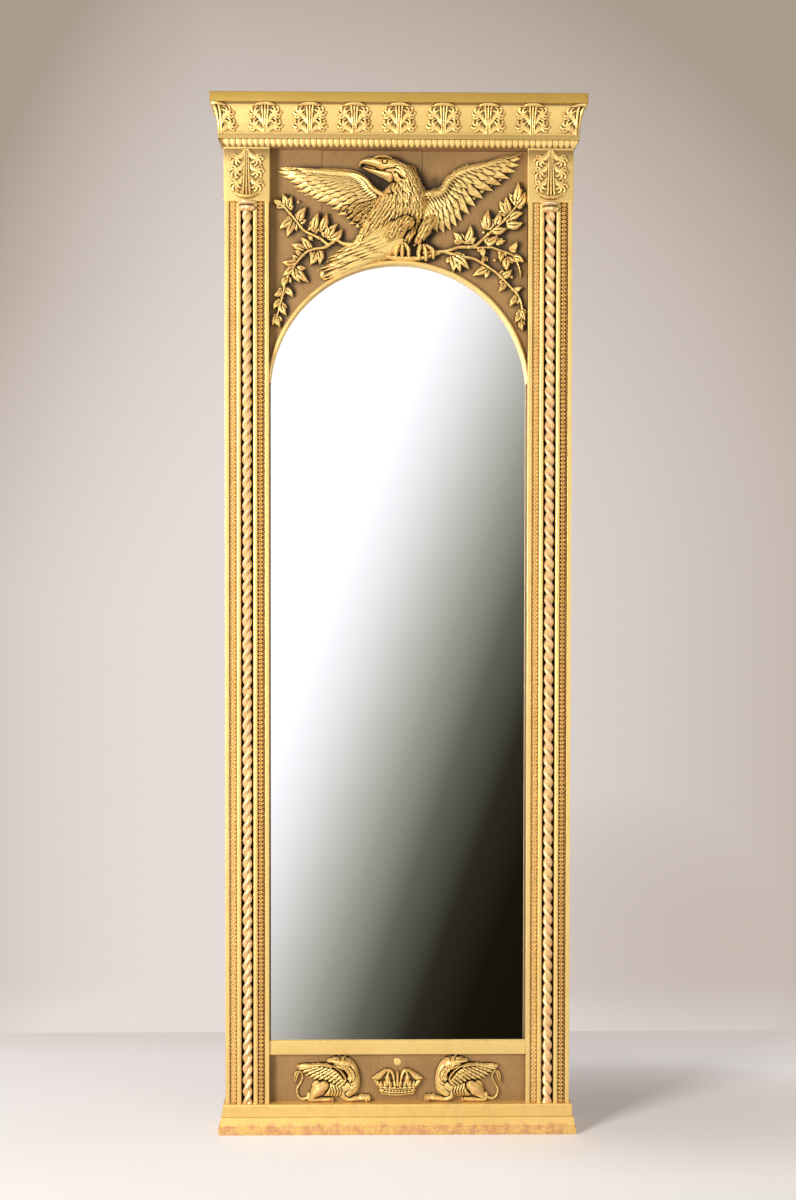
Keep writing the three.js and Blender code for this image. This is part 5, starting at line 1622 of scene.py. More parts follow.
    def left_branch(self) -> Surface:
        """The branch on the left, out from under the tail.

        Returns:
            The branch.
        """
        stems = [
            ([(-108, 2064), (-130, 2066), (-144, 2073), (-162, 2063), (-182, 2077), (-214, 2092),
              (-230, 2108), (-244, 2126), (-262, 2146), (-276, 2158), (-286, 2166)], 4.0),
            ([(-154, 2066), (-172, 2056), (-190, 2053), (-210, 2047), (-226, 2033), (-240, 2015),
              (-250, 2001), (-260, 1979), (-268, 1945), (-282, 1893)], 3.75),
        ]
        leaves = [
            ((-268, 2150), (-291, 2162)), ((-262, 2146), (-268, 2178)), ((-256, 2144), (-246, 2174)),
            ((-232, 2112), (-214, 2148)), ((-244, 2122), (-275, 2098)), ((-242, 2118), (-258, 2080)),
            ((-196, 2092), (-186, 2136)), ((-180, 2092), (-166, 2134)), ((-188, 2090), (-208, 2104)),
            ((-164, 2076), (-142, 2110)), ((-160, 2074), (-130, 2098)), ((-168, 2080), (-166, 2106)),
            ((-206, 2084), (-198, 2072)), ((-206, 2048), (-226, 2080)), ((-214, 2050), (-248, 2062)),
            ((-224, 2036), (-240, 2048)), ((-186, 2052), (-182, 2018)), ((-192, 2048), (-204, 2016)),
            ((-232, 2026), (-270, 2022)), ((-238, 2016), (-268, 1990)), ((-240, 2012), (-228, 1976)),
            ((-240, 2008), (-208, 1976)), ((-256, 1990), (-266, 1962)), ((-264, 1962), (-244, 1942)),
            ((-266, 1958), (-288, 1944)), ((-270, 1934), (-290, 1914)), ((-272, 1926), (-260, 1900)),
            ((-280, 1900), (-292, 1876)), ((-280, 1898), (-274, 1872)),
        ]
        berries = [(-232, 2160), (-206, 2098), (-176, 2034), (-160, 2080)]
        return self.branch(stems, leaves, berries, (-297.8, -96, 1860, 2190))

    def arch_fillet(self, side: str, sign: int) -> Surface:
        """Half of the rounded fillet round the arch, run out where it meets the pilaster.

        A section of (radius, depth) turns about the arch's centre from the tail's angle to the crown, and its
        points are held inside the opening.

        Args:
            side: `left` or `right`.
            sign: -1 or 1.

        Returns:
            The fillet.
        """
        outer = self.radius + self.fillet
        section, relief = rounded([
            (self.radius, self.plate_front, 0.0), (self.radius, self.fillet_front - 1.6, 1.2),
            (self.radius + 2.6, self.fillet_front, 1.2), (outer - 2.2, self.fillet_front, 2.0),
            (outer, self.fillet_front - 3.0, 1.4), (outer, self.plate_front, 0.0),
        ])
        angle = np.linspace(math.asin(self.tail_height / self.radius), math.pi / 2, 110)[:, None]
        x = np.minimum(section[None, :, 0] * np.cos(angle), 298.3)
        z = self.crown - self.radius + section[None, :, 0] * np.sin(angle)
        return swept(place(sign * x, section[None, :, 1], z), relief)

    def boards(self, workshop: Workshop, carvings: Sequence[Surface]) -> None:
        """The three ground boards, with painted shadow beside and above the carvings and painted shade under
        the cornice.

        The darkening is a weighted sum of means, over a small window, a wide one and one moved up by three
        cells, of how much carving stands there, with exp(-(dx / reach)^2 - (dz / reach)^2) in each pocket.

        Args:
            workshop: The finishes.
            carvings: What lies on the boards.
        """
        cell = self.painted_shadow_cell
        columns, rows = int(2 * self.half / cell) + 1, int(self.ground_height / cell)
        low = self.crown - self.radius
        stands = np.zeros((rows, columns))
        for surface in carvings:
            points = surface.points
            column = np.clip(((points[:, 0] + self.half + 5) / cell).astype(int), 0, columns - 1)
            row = np.clip(((points[:, 2] - low - 4) / cell).astype(int), 0, rows - 1)
            np.maximum.at(stands, (row, column), np.clip((self.face_y() - points[:, 1]) / 14.0, 0, 1))
        # Painted shadow: the carving's own footprint blurred, and also moved up three cells for the shadow
        # above it.
        above = box_blurred(np.roll(stands, 3, axis=0), 2)
        painted_shadow = 1.1 * box_blurred(stands, 2) + 0.9 * box_blurred(stands, 5) + 0.8 * above
        for name in ("left", "centre", "right"):
            node = f"eagle_ground_{name}"
            x_low, x_high = node_range(node, 0)
            z_low, z_high = node_range(node, 2)
            back, front = node_range(node, 1)
            width = x_high - x_low - 2 * self.board_gap
            step = width / math.ceil(width / cell)
            start = x_low + self.board_gap
            relief = Relief(start, start + width - step * 0.01, z_low, z_high, step, skirt=0.0)
            arch = (np.hypot(relief.x, relief.z - low) < self.radius + 3.5) & (relief.z > low)
            relief.height = np.where(arch, 0.0, front - back)
            surface = relief.surface(lambda x, z, height: place(x, back + np.maximum(height, 0), z))
            x, z = surface.points[:, 0], surface.points[:, 2]
            column = np.clip(((x + self.half) / cell).astype(int), 0, columns - 1)
            row = np.clip(((z - low) / cell).astype(int), 0, rows - 1)
            # Painted shade under the cornice, across the top of each board.
            under = np.clip((z - z_high + 46) / 30, 0, 1) * 0.3
            pocket = sum(strength * np.exp(-((x - x0) / reach_x) ** 2 - ((z - z0) / reach_z) ** 2)
                         for x0, z0, reach_x, reach_z, strength in self.pockets)
            surface.relief = -np.clip(1.2 * painted_shadow[row, column] - 0.2 + 1.3 * pocket, 0, 1.6) - under
            add_piece(f"ground_board_{name}", surface, workshop[Finish.GROUND], [node])

    def face_y(self) -> float:
        """The y of the boards' face."""
        return float(place(np.zeros(1), np.array([self.ground]), np.zeros(1))[0, 1])

    def make(self, workshop: Workshop) -> None:
        """Builds and dresses the panel's pieces.

        Args:
            workshop: The finishes.
        """
        gold = workshop[Finish.CARVING]
        carvings = []
        for name, surface, node in (
            ("carved_eagle", self.body(), "eagle_body"),
            ("carved_wing_left", self.left_wing(), "eagle_wing_left"),
            ("carved_wing_right", self.right_wing(), "eagle_wing_right"),
            ("carved_tail", self.tail(), "eagle_tail"),
            ("carved_branch_left", self.left_branch(), "branch_left"),
            ("carved_branch_right", self.right_branch(), "branch_right"),
        ):
            add_piece(name, surface, gold, [node], sharp_angle=80)
            carvings.append(surface)
        self.boards(workshop, carvings)
        for side, sign in SIDES:
            add_piece(f"arch_moulding_{side}", self.arch_fillet(side, sign), workshop[Finish.MOULDING],
                      [f"arch_fillet_{side}"])


# ---------------------------------------------------------------- leaves
@dataclass
class Acanthus:
    """A carved leaf in tiers of ruffled lobes about a ribbed middle, which grows up or hangs down.

    Each tier has the shares of the leaf's length where its lobes start and end, and of its reach.
    """

    length: float = 66.0
    reach: float = 39.0
    hands: tuple[int, ...] = (-1, 1)
    down: bool = False
    tiers: tuple[tuple[float, float, float], ...] = ((0.0, 0.40, 1.04), (0.26, 0.86, 1.0))
    lip: float = 24.0
    curl: float = 2.3
    rise: float = 5.0

    def at(self, across: float, up: float) -> tuple[float, float]:
        """A place on the leaf, from shares of its reach and length, on the carving's grid."""
        return across * self.reach, (-up if self.down else up) * self.length

    def lobe(self, relief: Relief, hand: int, start: float, end: float, reach: float) -> None:
        """One lobe: a pad that bows out, five round-ended fingers fanned round its end and eyelets between.

        Args:
            relief: The carving.
            hand: -1 or 1, the side that it grows to.
            start: Share of the leaf's length where it leaves the middle.
            end: Share where its tip ends.
            reach: Share of the leaf's reach that its tip reaches.
        """
        span = end - start
        spine = [self.at(hand * 0.05, start), self.at(hand * 0.26 * reach, start + span * 0.42),
                 self.at(hand * 0.56 * reach, start + span * 0.66)]
        relief.stroke(spine, [3.5, 7.0, 7.6], [self.rise * 0.85, self.rise, self.rise * 1.05],
                      lift=(0.6, 1.0))
        leg = np.array(spine[2]) - np.array(spine[1])
        hub = np.array(spine[2]) - 0.12 * leg
        way = math.atan2(*leg[::-1])
        turning = hand * (-1 if self.down else 1)
        for turn, share in ((-1.5, 0.78), (-0.75, 0.98), (0.0, 1.0), (0.75, 0.96), (1.5, 0.86)):
            size = share * 0.42 * reach * self.reach
            aim = way + turn * turning
            first = hub + size * 0.62 * np.array([math.cos(aim), math.sin(aim)])
            tip = hub + size * np.array([math.cos(aim + 0.3 * turning), math.sin(aim + 0.3 * turning)])
            rises = [self.rise, self.rise * 1.2, self.rise * 0.8]
            relief.stroke([hub, first, tip], [2.4, 4.4, 4.8, 4.0], rises, lift=(0.6, 0.6))
            gap = aim + 0.38 * turning
            way_out = np.array([math.cos(gap), math.sin(gap)])
            relief.cut([hub + 0.35 * size * way_out, hub + 0.8 * size * way_out], [0.7, 1.2], 3.5)
            eye = hub + size * 0.72 * way_out
            relief.cut([eye - 0.3, eye + 0.3], [1.3, 1.3], 7)

    def carve(self, relief: Relief) -> None:
        """Carves the lobes from the lowest tier up, then the middle's ribs and the rolled lip over them.

        Args:
            relief: The carving.
        """
        for start, end, reach in self.tiers:
            for hand in self.hands:
                self.lobe(relief, hand, start, end, reach)
        for offset in (-0.16, 0.0, 0.16):
            ribs = [self.at(offset * 0.6, 0.0), self.at(offset * 0.75, 0.45), self.at(offset * 1.15, 0.92)]
            relief.stroke(ribs, [2.4, 2.8, 3.4], [self.rise * 1.1, self.rise * 1.3, self.rise * 1.5],
                          lift=(0.5, 1.0))
        share = self.lip / self.reach
        lip = [self.at(-share, 0.915), self.at(-share * 0.5, 0.95), self.at(0, 0.96),
               self.at(share * 0.5, 0.95), self.at(share, 0.915)]
        top = self.rise * self.curl
        relief.stroke(lip, [1.6, 4.0, 5.0, 4.0, 1.6], [top * 0.7, top * 0.95, top, top * 0.95, top * 0.7])


# ---------------------------------------------------------------- capitals
@dataclass
class Capital:
    """A block over a pilaster with a hanging leaf."""

    side: str
    sign: int
    outer: float = 400.0
    opening: float = 298.6
    proud: float = 2.0
    back: float = 60.0
    ground: float = 66.4
    front: float = 95.0
    shaded: float = 40.0

    def block(self) -> Surface:
        """The block, its upright arrises rounded, carried straight up and notched over the panel's ground.

        Returns:
            The block.
        """
        low, high = node_range(f"capital_block_{self.side}", 2)
        outline, relief = rounded([
            (self.outer + self.proud, self.back, 0.0), (self.outer + self.proud, self.front, 1.4),
            (self.opening - self.proud, self.front, 1.4), (self.opening - self.proud, self.ground, 0.0),
            (self.opening + 0.1, self.ground, 0.0), (self.opening + 0.1, self.back, 0.0),
        ])
        z = np.linspace(low, high, 24)
        points = place(self.sign * outline[None, :, 0], outline[None, :, 1], z[:, None])
        surface = swept(points, relief)
        ends = np.minimum(z - low, high - z)[:, None] < 3.0
        on_front = outline[None, :, 1] > self.front - 2.0
        # The face is darkened a little overall, with painted shade deepening towards its top under the
        # cornice; its ends are rubbed.
        under = np.clip((z[:, None] - high + self.shaded) / self.shaded, 0, 1)
        tone = np.minimum(surface.relief.reshape(len(z), -1), 0.6) - 0.2 - 0.6 * under
        surface.relief = np.where(ends & on_front, 0.3, tone).ravel()
        return surface

    def leaf(self) -> Surface:
        """The hanging leaf: three tiers of lobes and a drooping lip.

        Returns:
            The leaf.
        """
        low, high = node_range(f"capital_leaf_{self.side}", 2)
        relief = Relief(-43, 43, low - high - 1, 2, 0.9)
        leaf = Acanthus(length=high - low, reach=42, down=True, lip=25, rise=5.2, curl=2.9,
                        tiers=((0.0, 0.28, 0.95), (0.22, 0.54, 1.0), (0.46, 0.84, 0.98)))
        leaf.carve(relief)
        centre = self.sign * (self.outer + self.opening) / 2
        return relief.surface(lambda x, z, height: place(centre + x, self.front + height, high + z))

    def make(self, workshop: Workshop) -> None:
        """Builds and dresses the block and its leaf."""
        add_piece(f"capital_{self.side}", self.block(), workshop[Finish.MOULDING],
                  [f"capital_block_{self.side}"])
        add_piece(f"hanging_leaf_{self.side}", self.leaf(), workshop[Finish.CARVING],
                  [f"capital_leaf_{self.side}"], sharp_angle=80)


# ---------------------------------------------------------------- cornice and base
@dataclass
class WrappedRun:
    """A moulding carried up the left return, along the front and back down the right one."""

    half: float = 400.0
    front: float = 92.0

    def stations(self, spacing: float) -> Grid:
        """Places along the run with their outward ways.

        Args:
            spacing: Distance between places.

        Returns:
            Rows of x, depth, outward x, outward depth and length along the run; a corner's way is both ways.
        """
        sides = max(2, round(self.front / spacing))
        fronts = round(2 * self.half / spacing)
        depth = np.linspace(0, self.front, sides + 1)[:-1]
        x = np.linspace(-self.half, self.half, fronts + 1)
        left = np.stack([np.full(sides, -self.half), depth, np.full(sides, -1.0), np.zeros(sides), depth],
                        axis=-1)
        middle = np.stack([x, np.full(fronts + 1, self.front), np.zeros(fronts + 1), np.ones(fronts + 1),
                           self.front + self.half + x], axis=-1)
        middle[0, 2], middle[-1, 2] = -1.0, 1.0
        right = left[::-1].copy()
        right[:, [0, 2]] *= -1
        right[:, 4] = 2 * self.front + 2 * self.half - right[:, 1]
        return np.concatenate([left, middle, right])

    def surface(
        self,
        profile: Grid,
        relief: Grid,
        spacing: float = 24.0,
        carve: Callable[[Grid, Grid], tuple[Grid, Grid]] | None = None,
    ) -> Surface:
        """The run's surface.

        Args:
            profile: Ring points of (proud on the returns, proud on the front, z).
            relief: One value per ring point.
            spacing: Distance between rings.
            carve: Turns length along and the ring point's number into how far it stands out and its relief.

        Returns:
            The surface.
        """
        at = self.stations(spacing)
        side_proud, front_proud, z = (profile[None, :, k] for k in range(3))
        extra = np.zeros((len(at), len(profile)))
        values = np.broadcast_to(relief, extra.shape).copy()
        if carve is not None:
            extra, values = carve(at[:, 4:5], np.arange(len(profile))[None])
        x = at[:, 0:1] + at[:, 2:3] * (side_proud + extra)
        depth = at[:, 1:2] + at[:, 3:4] * (front_proud + extra)
        surface = swept(place(x, np.maximum(depth, 0), z), values[0])
        surface.relief = values.ravel()
        return surface


def bevelled_bar(section: Sequence[Sequence[float]], low: float, high: float, bevel: float,
                 along_z: bool) -> Surface:
    """A bar with rounded arrises and bevelled ends: end rings are drawn in towards the middle by the bevel.

    Args:
        section: Corners of (first, depth or z, radius).
        low: Where it starts.
        high: Where it ends.
        bevel: Size of the bevel.
        along_z: Whether it stands up, with a section of (x, depth), or lies across, with one of (depth, z).

    Returns:
        The bar.
    """
    outline, relief = rounded(section)
    centre = (outline.min(axis=0) + outline.max(axis=0)) / 2
    inset = outline - np.sign(outline - centre) * bevel
    places = np.concatenate([[low, low + bevel], np.linspace(low, high, 30)[1:-1], [high - bevel, high]])
    rings = np.stack([inset if k in (0, len(places) - 1) else outline for k in range(len(places))])
    first, second, run = rings[..., 0], rings[..., 1], places[:, None] * np.ones(len(outline))
    points = place(first, second, run) if along_z else place(run, first, second)
    surface = swept(points, relief)
    edge = np.isin(np.arange(len(places)), [0, 1, len(places) - 2, len(places) - 1])[:, None]
    surface.relief = np.maximum(surface.relief.reshape(len(places), -1), edge * 0.8).ravel()
    return surface


class Wall(Enum):
    """The walls of the cove that a leaf can lie on."""

    FRONT = "front"
    SIDE = "side"
    CORNER = "corner"


@dataclass
class Cornice:
    """Top board, leaf-carved cove and the fillet over a leaf-tip moulding."""

    run: WrappedRun = field(default_factory=WrappedRun)
    slab_half: float = 431.5
    slab_depth: float = 123.5
    slab_low: float = 2377.5
    top: float = 2400.0
    cove_low: float = 2309.0
    fillet_low: float = 2297.0
    low: float = 2280.5
    cove_foot: float = 9.0
    cove_head: float = 24.0
    roundness: float = 0.97
    fillet_proud: float = 14.0
    tip_pitch: float = 13.2
    leaf_pitch: float = 102.0
    leaf_count: int = 7
    reach: float = 31.0
    cove_shade: float = -0.14
    cove_end_shade: float = -0.6
    fillet_shade: float = -0.45
    under_fillet_shade: float = -1.2

    def cove_curve(self, share: Grid) -> Grid:
        """A quarter of a flat circle: 1 - sqrt(1 - (roundness * share)^2)."""
        return 1 - np.sqrt(1 - (self.roundness * np.clip(share, 0, 1)) ** 2)

    def cove_proud(self, share: Grid) -> Grid:
        """How far the cove stands out: foot + (head - foot) * curve(share) / curve(1)."""
        out = self.cove_head - self.cove_foot
        return self.cove_foot + out * self.cove_curve(share) / self.cove_curve(np.array(1.0))

    def cove(self) -> Surface:
        """The plain hollow of the cove.

        Returns:
            The cove.
        """
        t = np.linspace(0, 1, 26)
        proud = np.concatenate([[0], self.cove_proud(t), [0]])
        z = np.concatenate([[self.cove_low], self.cove_low + (self.slab_low - self.cove_low) * t,
                            [self.slab_low]])
        relief = np.concatenate([[0], self.cove_shade + self.cove_end_shade * (np.abs(t - 0.5) > 0.44),
                                 [0]])
        return self.run.surface(np.stack([proud, proud, z], axis=-1), relief, 20.0)

    def bed(self) -> Surface:
        """The fillet and the leaf-tip moulding under it, one tongue with a rib in each pitch.

        At phase p from a tongue's middle and height v, the tongue is 0.93 * min(1, v / 0.4)^0.5 wide; it
        rises inside that, with a rib exp(-(p / 0.16)^2) and a rim along its edge.

        Returns:
            The bed moulding.
        """
        v = np.array([0.0, 0.08, 0.2, 0.34, 0.48, 0.62, 0.76, 0.9, 1.0])
        height = self.fillet_low - self.low
        slope = np.interp(v, [0, 0.35, 0.8, 1.0], [3.0, 7.0, 10.0, 10.0])
        fillet, fillet_relief = rounded([(10.0, self.fillet_low, 0.0),
                                         (self.fillet_proud, self.fillet_low, 1.0),
                                         (self.fillet_proud, self.cove_low, 1.4), (0, self.cove_low, 0.0),
                                         (0, self.low, 0.0)])
        proud = np.concatenate([slope, fillet[1:, 0]])
        z = np.concatenate([self.low + height * v, fillet[1:, 1]])
        relief = np.concatenate([np.zeros(len(v)), fillet_relief[1:]])
        on_fillet = (proud > self.fillet_proud - 0.01) & (np.abs(relief) < 0.01)
        relief = np.where(on_fillet, self.fillet_shade, relief)
        under_fillet = (proud < self.fillet_proud - 0.1) & (np.abs(z - self.fillet_low) < 0.5)
        relief = np.where(under_fillet, self.under_fillet_shade, relief)
        rows = np.concatenate([v, np.full(len(z) - len(v), -1.0)])

        def carve(along: Grid, number: Grid) -> tuple[Grid, Grid]:
            """Stands the tongues out of the slope and paints shade into the cuts between them.

            Args:
                along: Length along the run.
                number: The ring point's number.

            Returns:
                How far each point stands out, and its relief.
            """
            row = rows[number]
            phase = ((along / self.tip_pitch) % 1.0 - 0.5) * 2
            wide = 0.93 * np.sqrt(np.clip(row / 0.4, 0, 1))
            inside = np.clip((wide - np.abs(phase)) * 5, 0, 1) * (row >= 0)
            rib = np.exp(-((phase / 0.16) ** 2))
            rim = np.exp(-(((wide - np.abs(phase)) / 0.14) ** 2))
            level = inside * (0.55 + 0.4 * rib + 0.35 * rim)
            carved = row >= 0
            return (level * 1.8 - 0.9) * carved, np.where(carved, level * 1.7 - 0.95, relief[number])

        return self.run.surface(np.stack([proud, proud, z], axis=-1), relief, self.tip_pitch / 8, carve)

    def wall(self, kind: Wall, sign: int, centre: float) -> Callable[[Grid, Grid, Grid], Grid]:
        """A mapping that lays a leaf on a wall of the cove.

        Args:
            kind: Which wall.
            sign: -1 or 1, for the side and the corner.
            centre: The leaf's middle, across on the front and forward on a side.

        Returns:
            The mapping.
        """
        tall = self.slab_low - self.cove_low

        def front(u: Grid, v: Grid, height: Grid) -> Grid:
            """Lays the leaf across the front."""
            proud = np.minimum(self.cove_proud(v / tall) + height, self.reach)
            return place(centre + u, self.run.front + proud, self.cove_low + v)

        def side(u: Grid, v: Grid, height: Grid) -> Grid:
            """Lays the leaf along a return."""
            proud = np.minimum(self.cove_proud(v / tall) + height, self.reach)
            return place(sign * (self.run.half + proud), centre + u, self.cove_low + v)

        def corner(u: Grid, v: Grid, height: Grid) -> Grid:
            """Bends the leaf round a corner: its outward way swings from front to side over 12 mm.

            Args:
                u: Across the leaf.
                v: Up the leaf.
                height: How far the carving stands out.

            Returns:
                The bent points.
            """
            proud = self.cove_proud(v / tall)
            height = np.minimum(height, self.reach - proud)
            swing = np.clip((u + 6) / 12, 0, 1)
            length = np.hypot(swing, 1 - swing)
            x = self.run.half + proud - np.maximum(-u, 0) + height * swing / length
            depth = self.run.front + proud - np.maximum(u, 0) + height * (1 - swing) / length
            return place(sign * x, depth, self.cove_low + v)

        return {Wall.FRONT: front, Wall.SIDE: side, Wall.CORNER: corner}[kind]

    def leaves(self) -> Surface:
        """Upright leaves along the front, round both corners and on the returns, on a low strip.

        Returns:
            The run of leaves.
        """
        parts = []
        tall = self.slab_low - self.cove_low
        whole = Relief(-42, 42, 0, tall - 0.6, 1.15)
        Acanthus(length=tall - 1).carve(whole)
        half_leaf = Relief(-20, 42, 0, tall - 0.6, 1.15)
        Acanthus(length=tall - 1, hands=(1,)).carve(half_leaf)
        for k in range(self.leaf_count):
            centre = (k - (self.leaf_count - 1) / 2) * self.leaf_pitch
            parts.append(whole.surface(self.wall(Wall.FRONT, 1, centre)))
        for _, sign in SIDES:
            parts.append(outward(whole.surface(self.wall(Wall.CORNER, sign, 0.0))))
            parts.append(outward(half_leaf.surface(self.wall(Wall.SIDE, sign, self.run.front / 4))))
        strip, relief = rounded([(self.cove_foot, self.cove_low, 0.0),
                                 (self.cove_foot + 2.5, self.cove_low, 0.0),
                                 (self.cove_foot + 2.5, self.cove_low + 4, 0.9),
                                 (self.cove_foot, self.cove_low + 4, 0.0)])
        parts.append(self.run.surface(np.stack([strip[:, 0], strip[:, 0], strip[:, 1]], axis=-1), relief))
        return Surface.joined(parts)

    def make(self, workshop: Workshop) -> None:
        """Builds and dresses the cornice.

        Args:
            workshop: The finishes.
        """
        gold = workshop[Finish.MOULDING]
        slab = bevelled_bar([(0, self.slab_low, 0.0), (self.slab_depth, self.slab_low, 1.4),
                             (self.slab_depth, self.top, 1.8), (0, self.top, 0.0)],
                            -self.slab_half, self.slab_half, 1.2, along_z=False)
        add_piece("cornice_slab", slab, workshop[Finish.SLAB], ["cornice_top_board"])
        add_piece("cornice_hollow", self.cove(), gold,
                  ["cornice_cove_front", "cornice_cove_left", "cornice_cove_right"])
        add_piece("cornice_leaf_tips", self.bed(), gold,
                  ["cornice_bed_front", "cornice_bed_left", "cornice_bed_right"], sharp_angle=50)
        add_piece("cornice_leaves", self.leaves(), workshop[Finish.CARVING],
                  ["cornice_leaf_run"], sharp_angle=80)


@dataclass
class Base:
    """The stepped base, one mitred run of steps."""

    run: WrappedRun = field(default_factory=WrappedRun)
    top: float = 68.8
    step: float = 39.7
    foot: float = 18.9
    core_lap: float = -32.0

    def surface(self) -> Surface:
        """The steps with worn arrises.

        Returns:
            The base.
        """
        outline, relief = rounded([
            (self.core_lap, self.top, 0.0), (5.0, self.top, 1.4), (6.5, self.top - 6, 1.0),
            (6.5, self.step, 0.8), (10.0, self.step, 1.4), (13.0, self.foot, 0.8), (15.5, self.foot, 1.6),
            (15.5, 0, 1.0), (self.core_lap, 0, 0.0),
        ])
        proud, level = outline.T
        relief = np.where(proud > 12, np.maximum(relief, np.where(level < self.foot + 1, 0.9, 0.3)), relief)
        relief = np.where((level > self.top - 6.5) & (level < self.top - 1.5) & (proud > 5.5), 0.7, relief)
        return self.run.surface(np.stack([np.maximum(proud, 0.0), proud, level], axis=-1), relief, 16.0)

    def make(self, workshop: Workshop) -> None:
        """Builds and dresses the base."""
        add_piece("stepped_base", self.surface(), workshop[Finish.FOOT],
                  ["base_front", "base_left", "base_right"])


# ---------------------------------------------------------------- griffin panel
@dataclass
class GriffinPanel:
    """The sight rail under the plate, and two griffins that guard a crown."""

    half: float = 298.3
    ground: float = 72.0
    plate_front: float = 54.0
    rail_front: float = 86.0
    rail_low: float = 182.0
    rail_high: float = 216.5
    fall: float = 9.0
    base_top: float = 68.8

    def rail(self) -> Surface:
        """The sight rail with a sloped upper edge, carried across the opening.

        Returns:
            The rail.
        """
        outline, relief = rounded([
            (self.plate_front, self.rail_low, 0.0), (self.rail_front, self.rail_low, 1.4),
            (self.rail_front, self.rail_high - 3.4, 1.0), (self.rail_front - 3.0, self.rail_high, 1.0),
            (self.plate_front, self.rail_high - self.fall, 0.0),
        ])
        x = np.linspace(-self.half, self.half, 60)[:, None]
        return swept(place(x, outline[None, :, 0], outline[None, :, 1]), relief)

    def griffin(self, sign: int) -> Surface:
        """A seated griffin that looks back over its shoulder, its wing raised and its tail curled up.

        Args:
            sign: -1 for the one on the left.

        Returns:
            The griffin.
        """
        relief = Relief(60, 252, self.base_top + 0.5, self.rail_low - 0.5, 0.85)
        relief.stroke([(206, 82), (220, 76), (231, 82), (235, 97), (230, 108), (224, 118),
                       (222, 130), (227, 141)],
                      [4.0, 3.2, 2.8, 2.6, 2.2, 2.0, 2.0, 2.0], [12, 10, 9, 8, 7, 6, 7, 8])
        relief.stroke([(226, 142), (235, 136), (238, 125), (240, 113)], [1.6, 5.0, 5.2, 3.6, 0.6],
                      [8, 10, 8], Section.LEAF)
        relief.stroke([(184, 104), (164, 99), (140, 100), (116, 108)], [17, 18, 19, 19], [14, 16, 18, 20])
        relief.stroke([(126, 164), (112, 154), (105, 138), (103, 120), (106, 104), (116, 92)],
                      [13, 14.5, 15, 16, 17, 14], [19, 19, 19, 20, 20, 17])
        relief.stroke([(128, 92), (124, 82), (112, 75.5), (96, 77), (82, 79)], [10, 8, 6.4, 6.4, 7.0],
                      [18, 16, 13, 14, 15])
        relief.stroke([(84, 79.5), (72, 79)], [8.4, 7.8], [16, 14])
        relief.settle(1.6)
        for k in range(5):
            relief.cut([(159 - 6.5 * k, 108), (155 - 6.5 * k, 96), (158 - 6.5 * k, 84)],
                       [1.2, 1.5, 1.0], 3.6)
        for k in range(4):
            relief.cut([(96 + k * 1.4, 106 + 12 * k), (100 + k * 1.6, 100 + 12 * k),
                        (108 + k * 1.6, 98 + 12 * k)],
                       [0.8, 1.1, 0.7], 1.8)
        for x, z in ((67, 83), (64.8, 78.5), (66.5, 74), (72, 72)):
            relief.bead(x, z, 3.3, 15.5)
        relief.stroke([(206, 86), (204, 76), (188, 74.5), (170, 74.5), (158, 75.5)],
                      [7, 6.4, 5.6, 5.2, 5.8], [13, 13, 13, 12, 13])
        for x, z in ((152, 78.5), (150.6, 75), (152.5, 71.8)):
            relief.bead(x, z, 2.9, 12.5)
        relief.cut([(160, 116), (162, 102), (172, 88), (186, 80)], [2.0, 2.2, 2.2, 1.6], 12)
        relief.stroke([(172, 107), (183, 100), (194, 88), (198, 82)], [13, 17.5, 14, 9], [20, 22, 19, 15])
        relief.cut([(176, 112), (190, 106), (200, 96)], [1.2, 1.6, 1.0], 1.6)
        self.wing(relief)
        self.head(relief)
        return outward(relief.surface(lambda x, z, height: place(sign * x, self.ground + height, z)))

    @staticmethod
    def wing(relief: Relief) -> None:
        """A raised wing: four rows of feathers under a bright rib.

        Args:
            relief: The carving.
        """
        roots = smooth_path([(122, 116), (128, 132), (142, 145), (156, 152), (180, 155), (206, 154)])
        tips = smooth_path([(134, 102), (144, 109), (156, 116), (170, 122), (190, 123),
                            (206, 127), (217, 136), (231, 146), (237, 154)])
        relief.stroke([(126, 112), (140, 128), (160, 140), (190, 142), (218, 148)], [10, 15, 16, 14, 6],
                      [17, 18, 16, 12, 7])
        count = 12
        for end, half, lift in ((1.0, 5.4, 15.0), (0.74, 5.0, 17.0), (0.5, 4.2, 19.0), (0.28, 3.4, 20.5)):
            for k in range(count):
                share = (k + 0.5) / count
                root, tip = along_line(roots, share), along_line(tips, share)
                fade = 1 - 0.5 * share
                end_point = root + (tip - root) * end
                relief.stroke([root, (root + end_point) / 2, end_point],
                              [half * 0.7, half, half * 0.95, 0.6], [2.4, 3.0, 2.4], Section.FEATHER,
                              ((lift - 2) * fade, lift * fade), tilt=0.6, pitch=2.6)
        relief.stroke([(121, 124), (128, 136), (140, 147), (154, 154.5), (170, 157.5), (192, 157),
                       (216, 155), (237, 155)],
                      [4.6, 4.8, 4.4, 4.0, 3.6, 3.2, 2.6, 1.0], [24, 25, 25, 23, 20, 16, 12, 8])

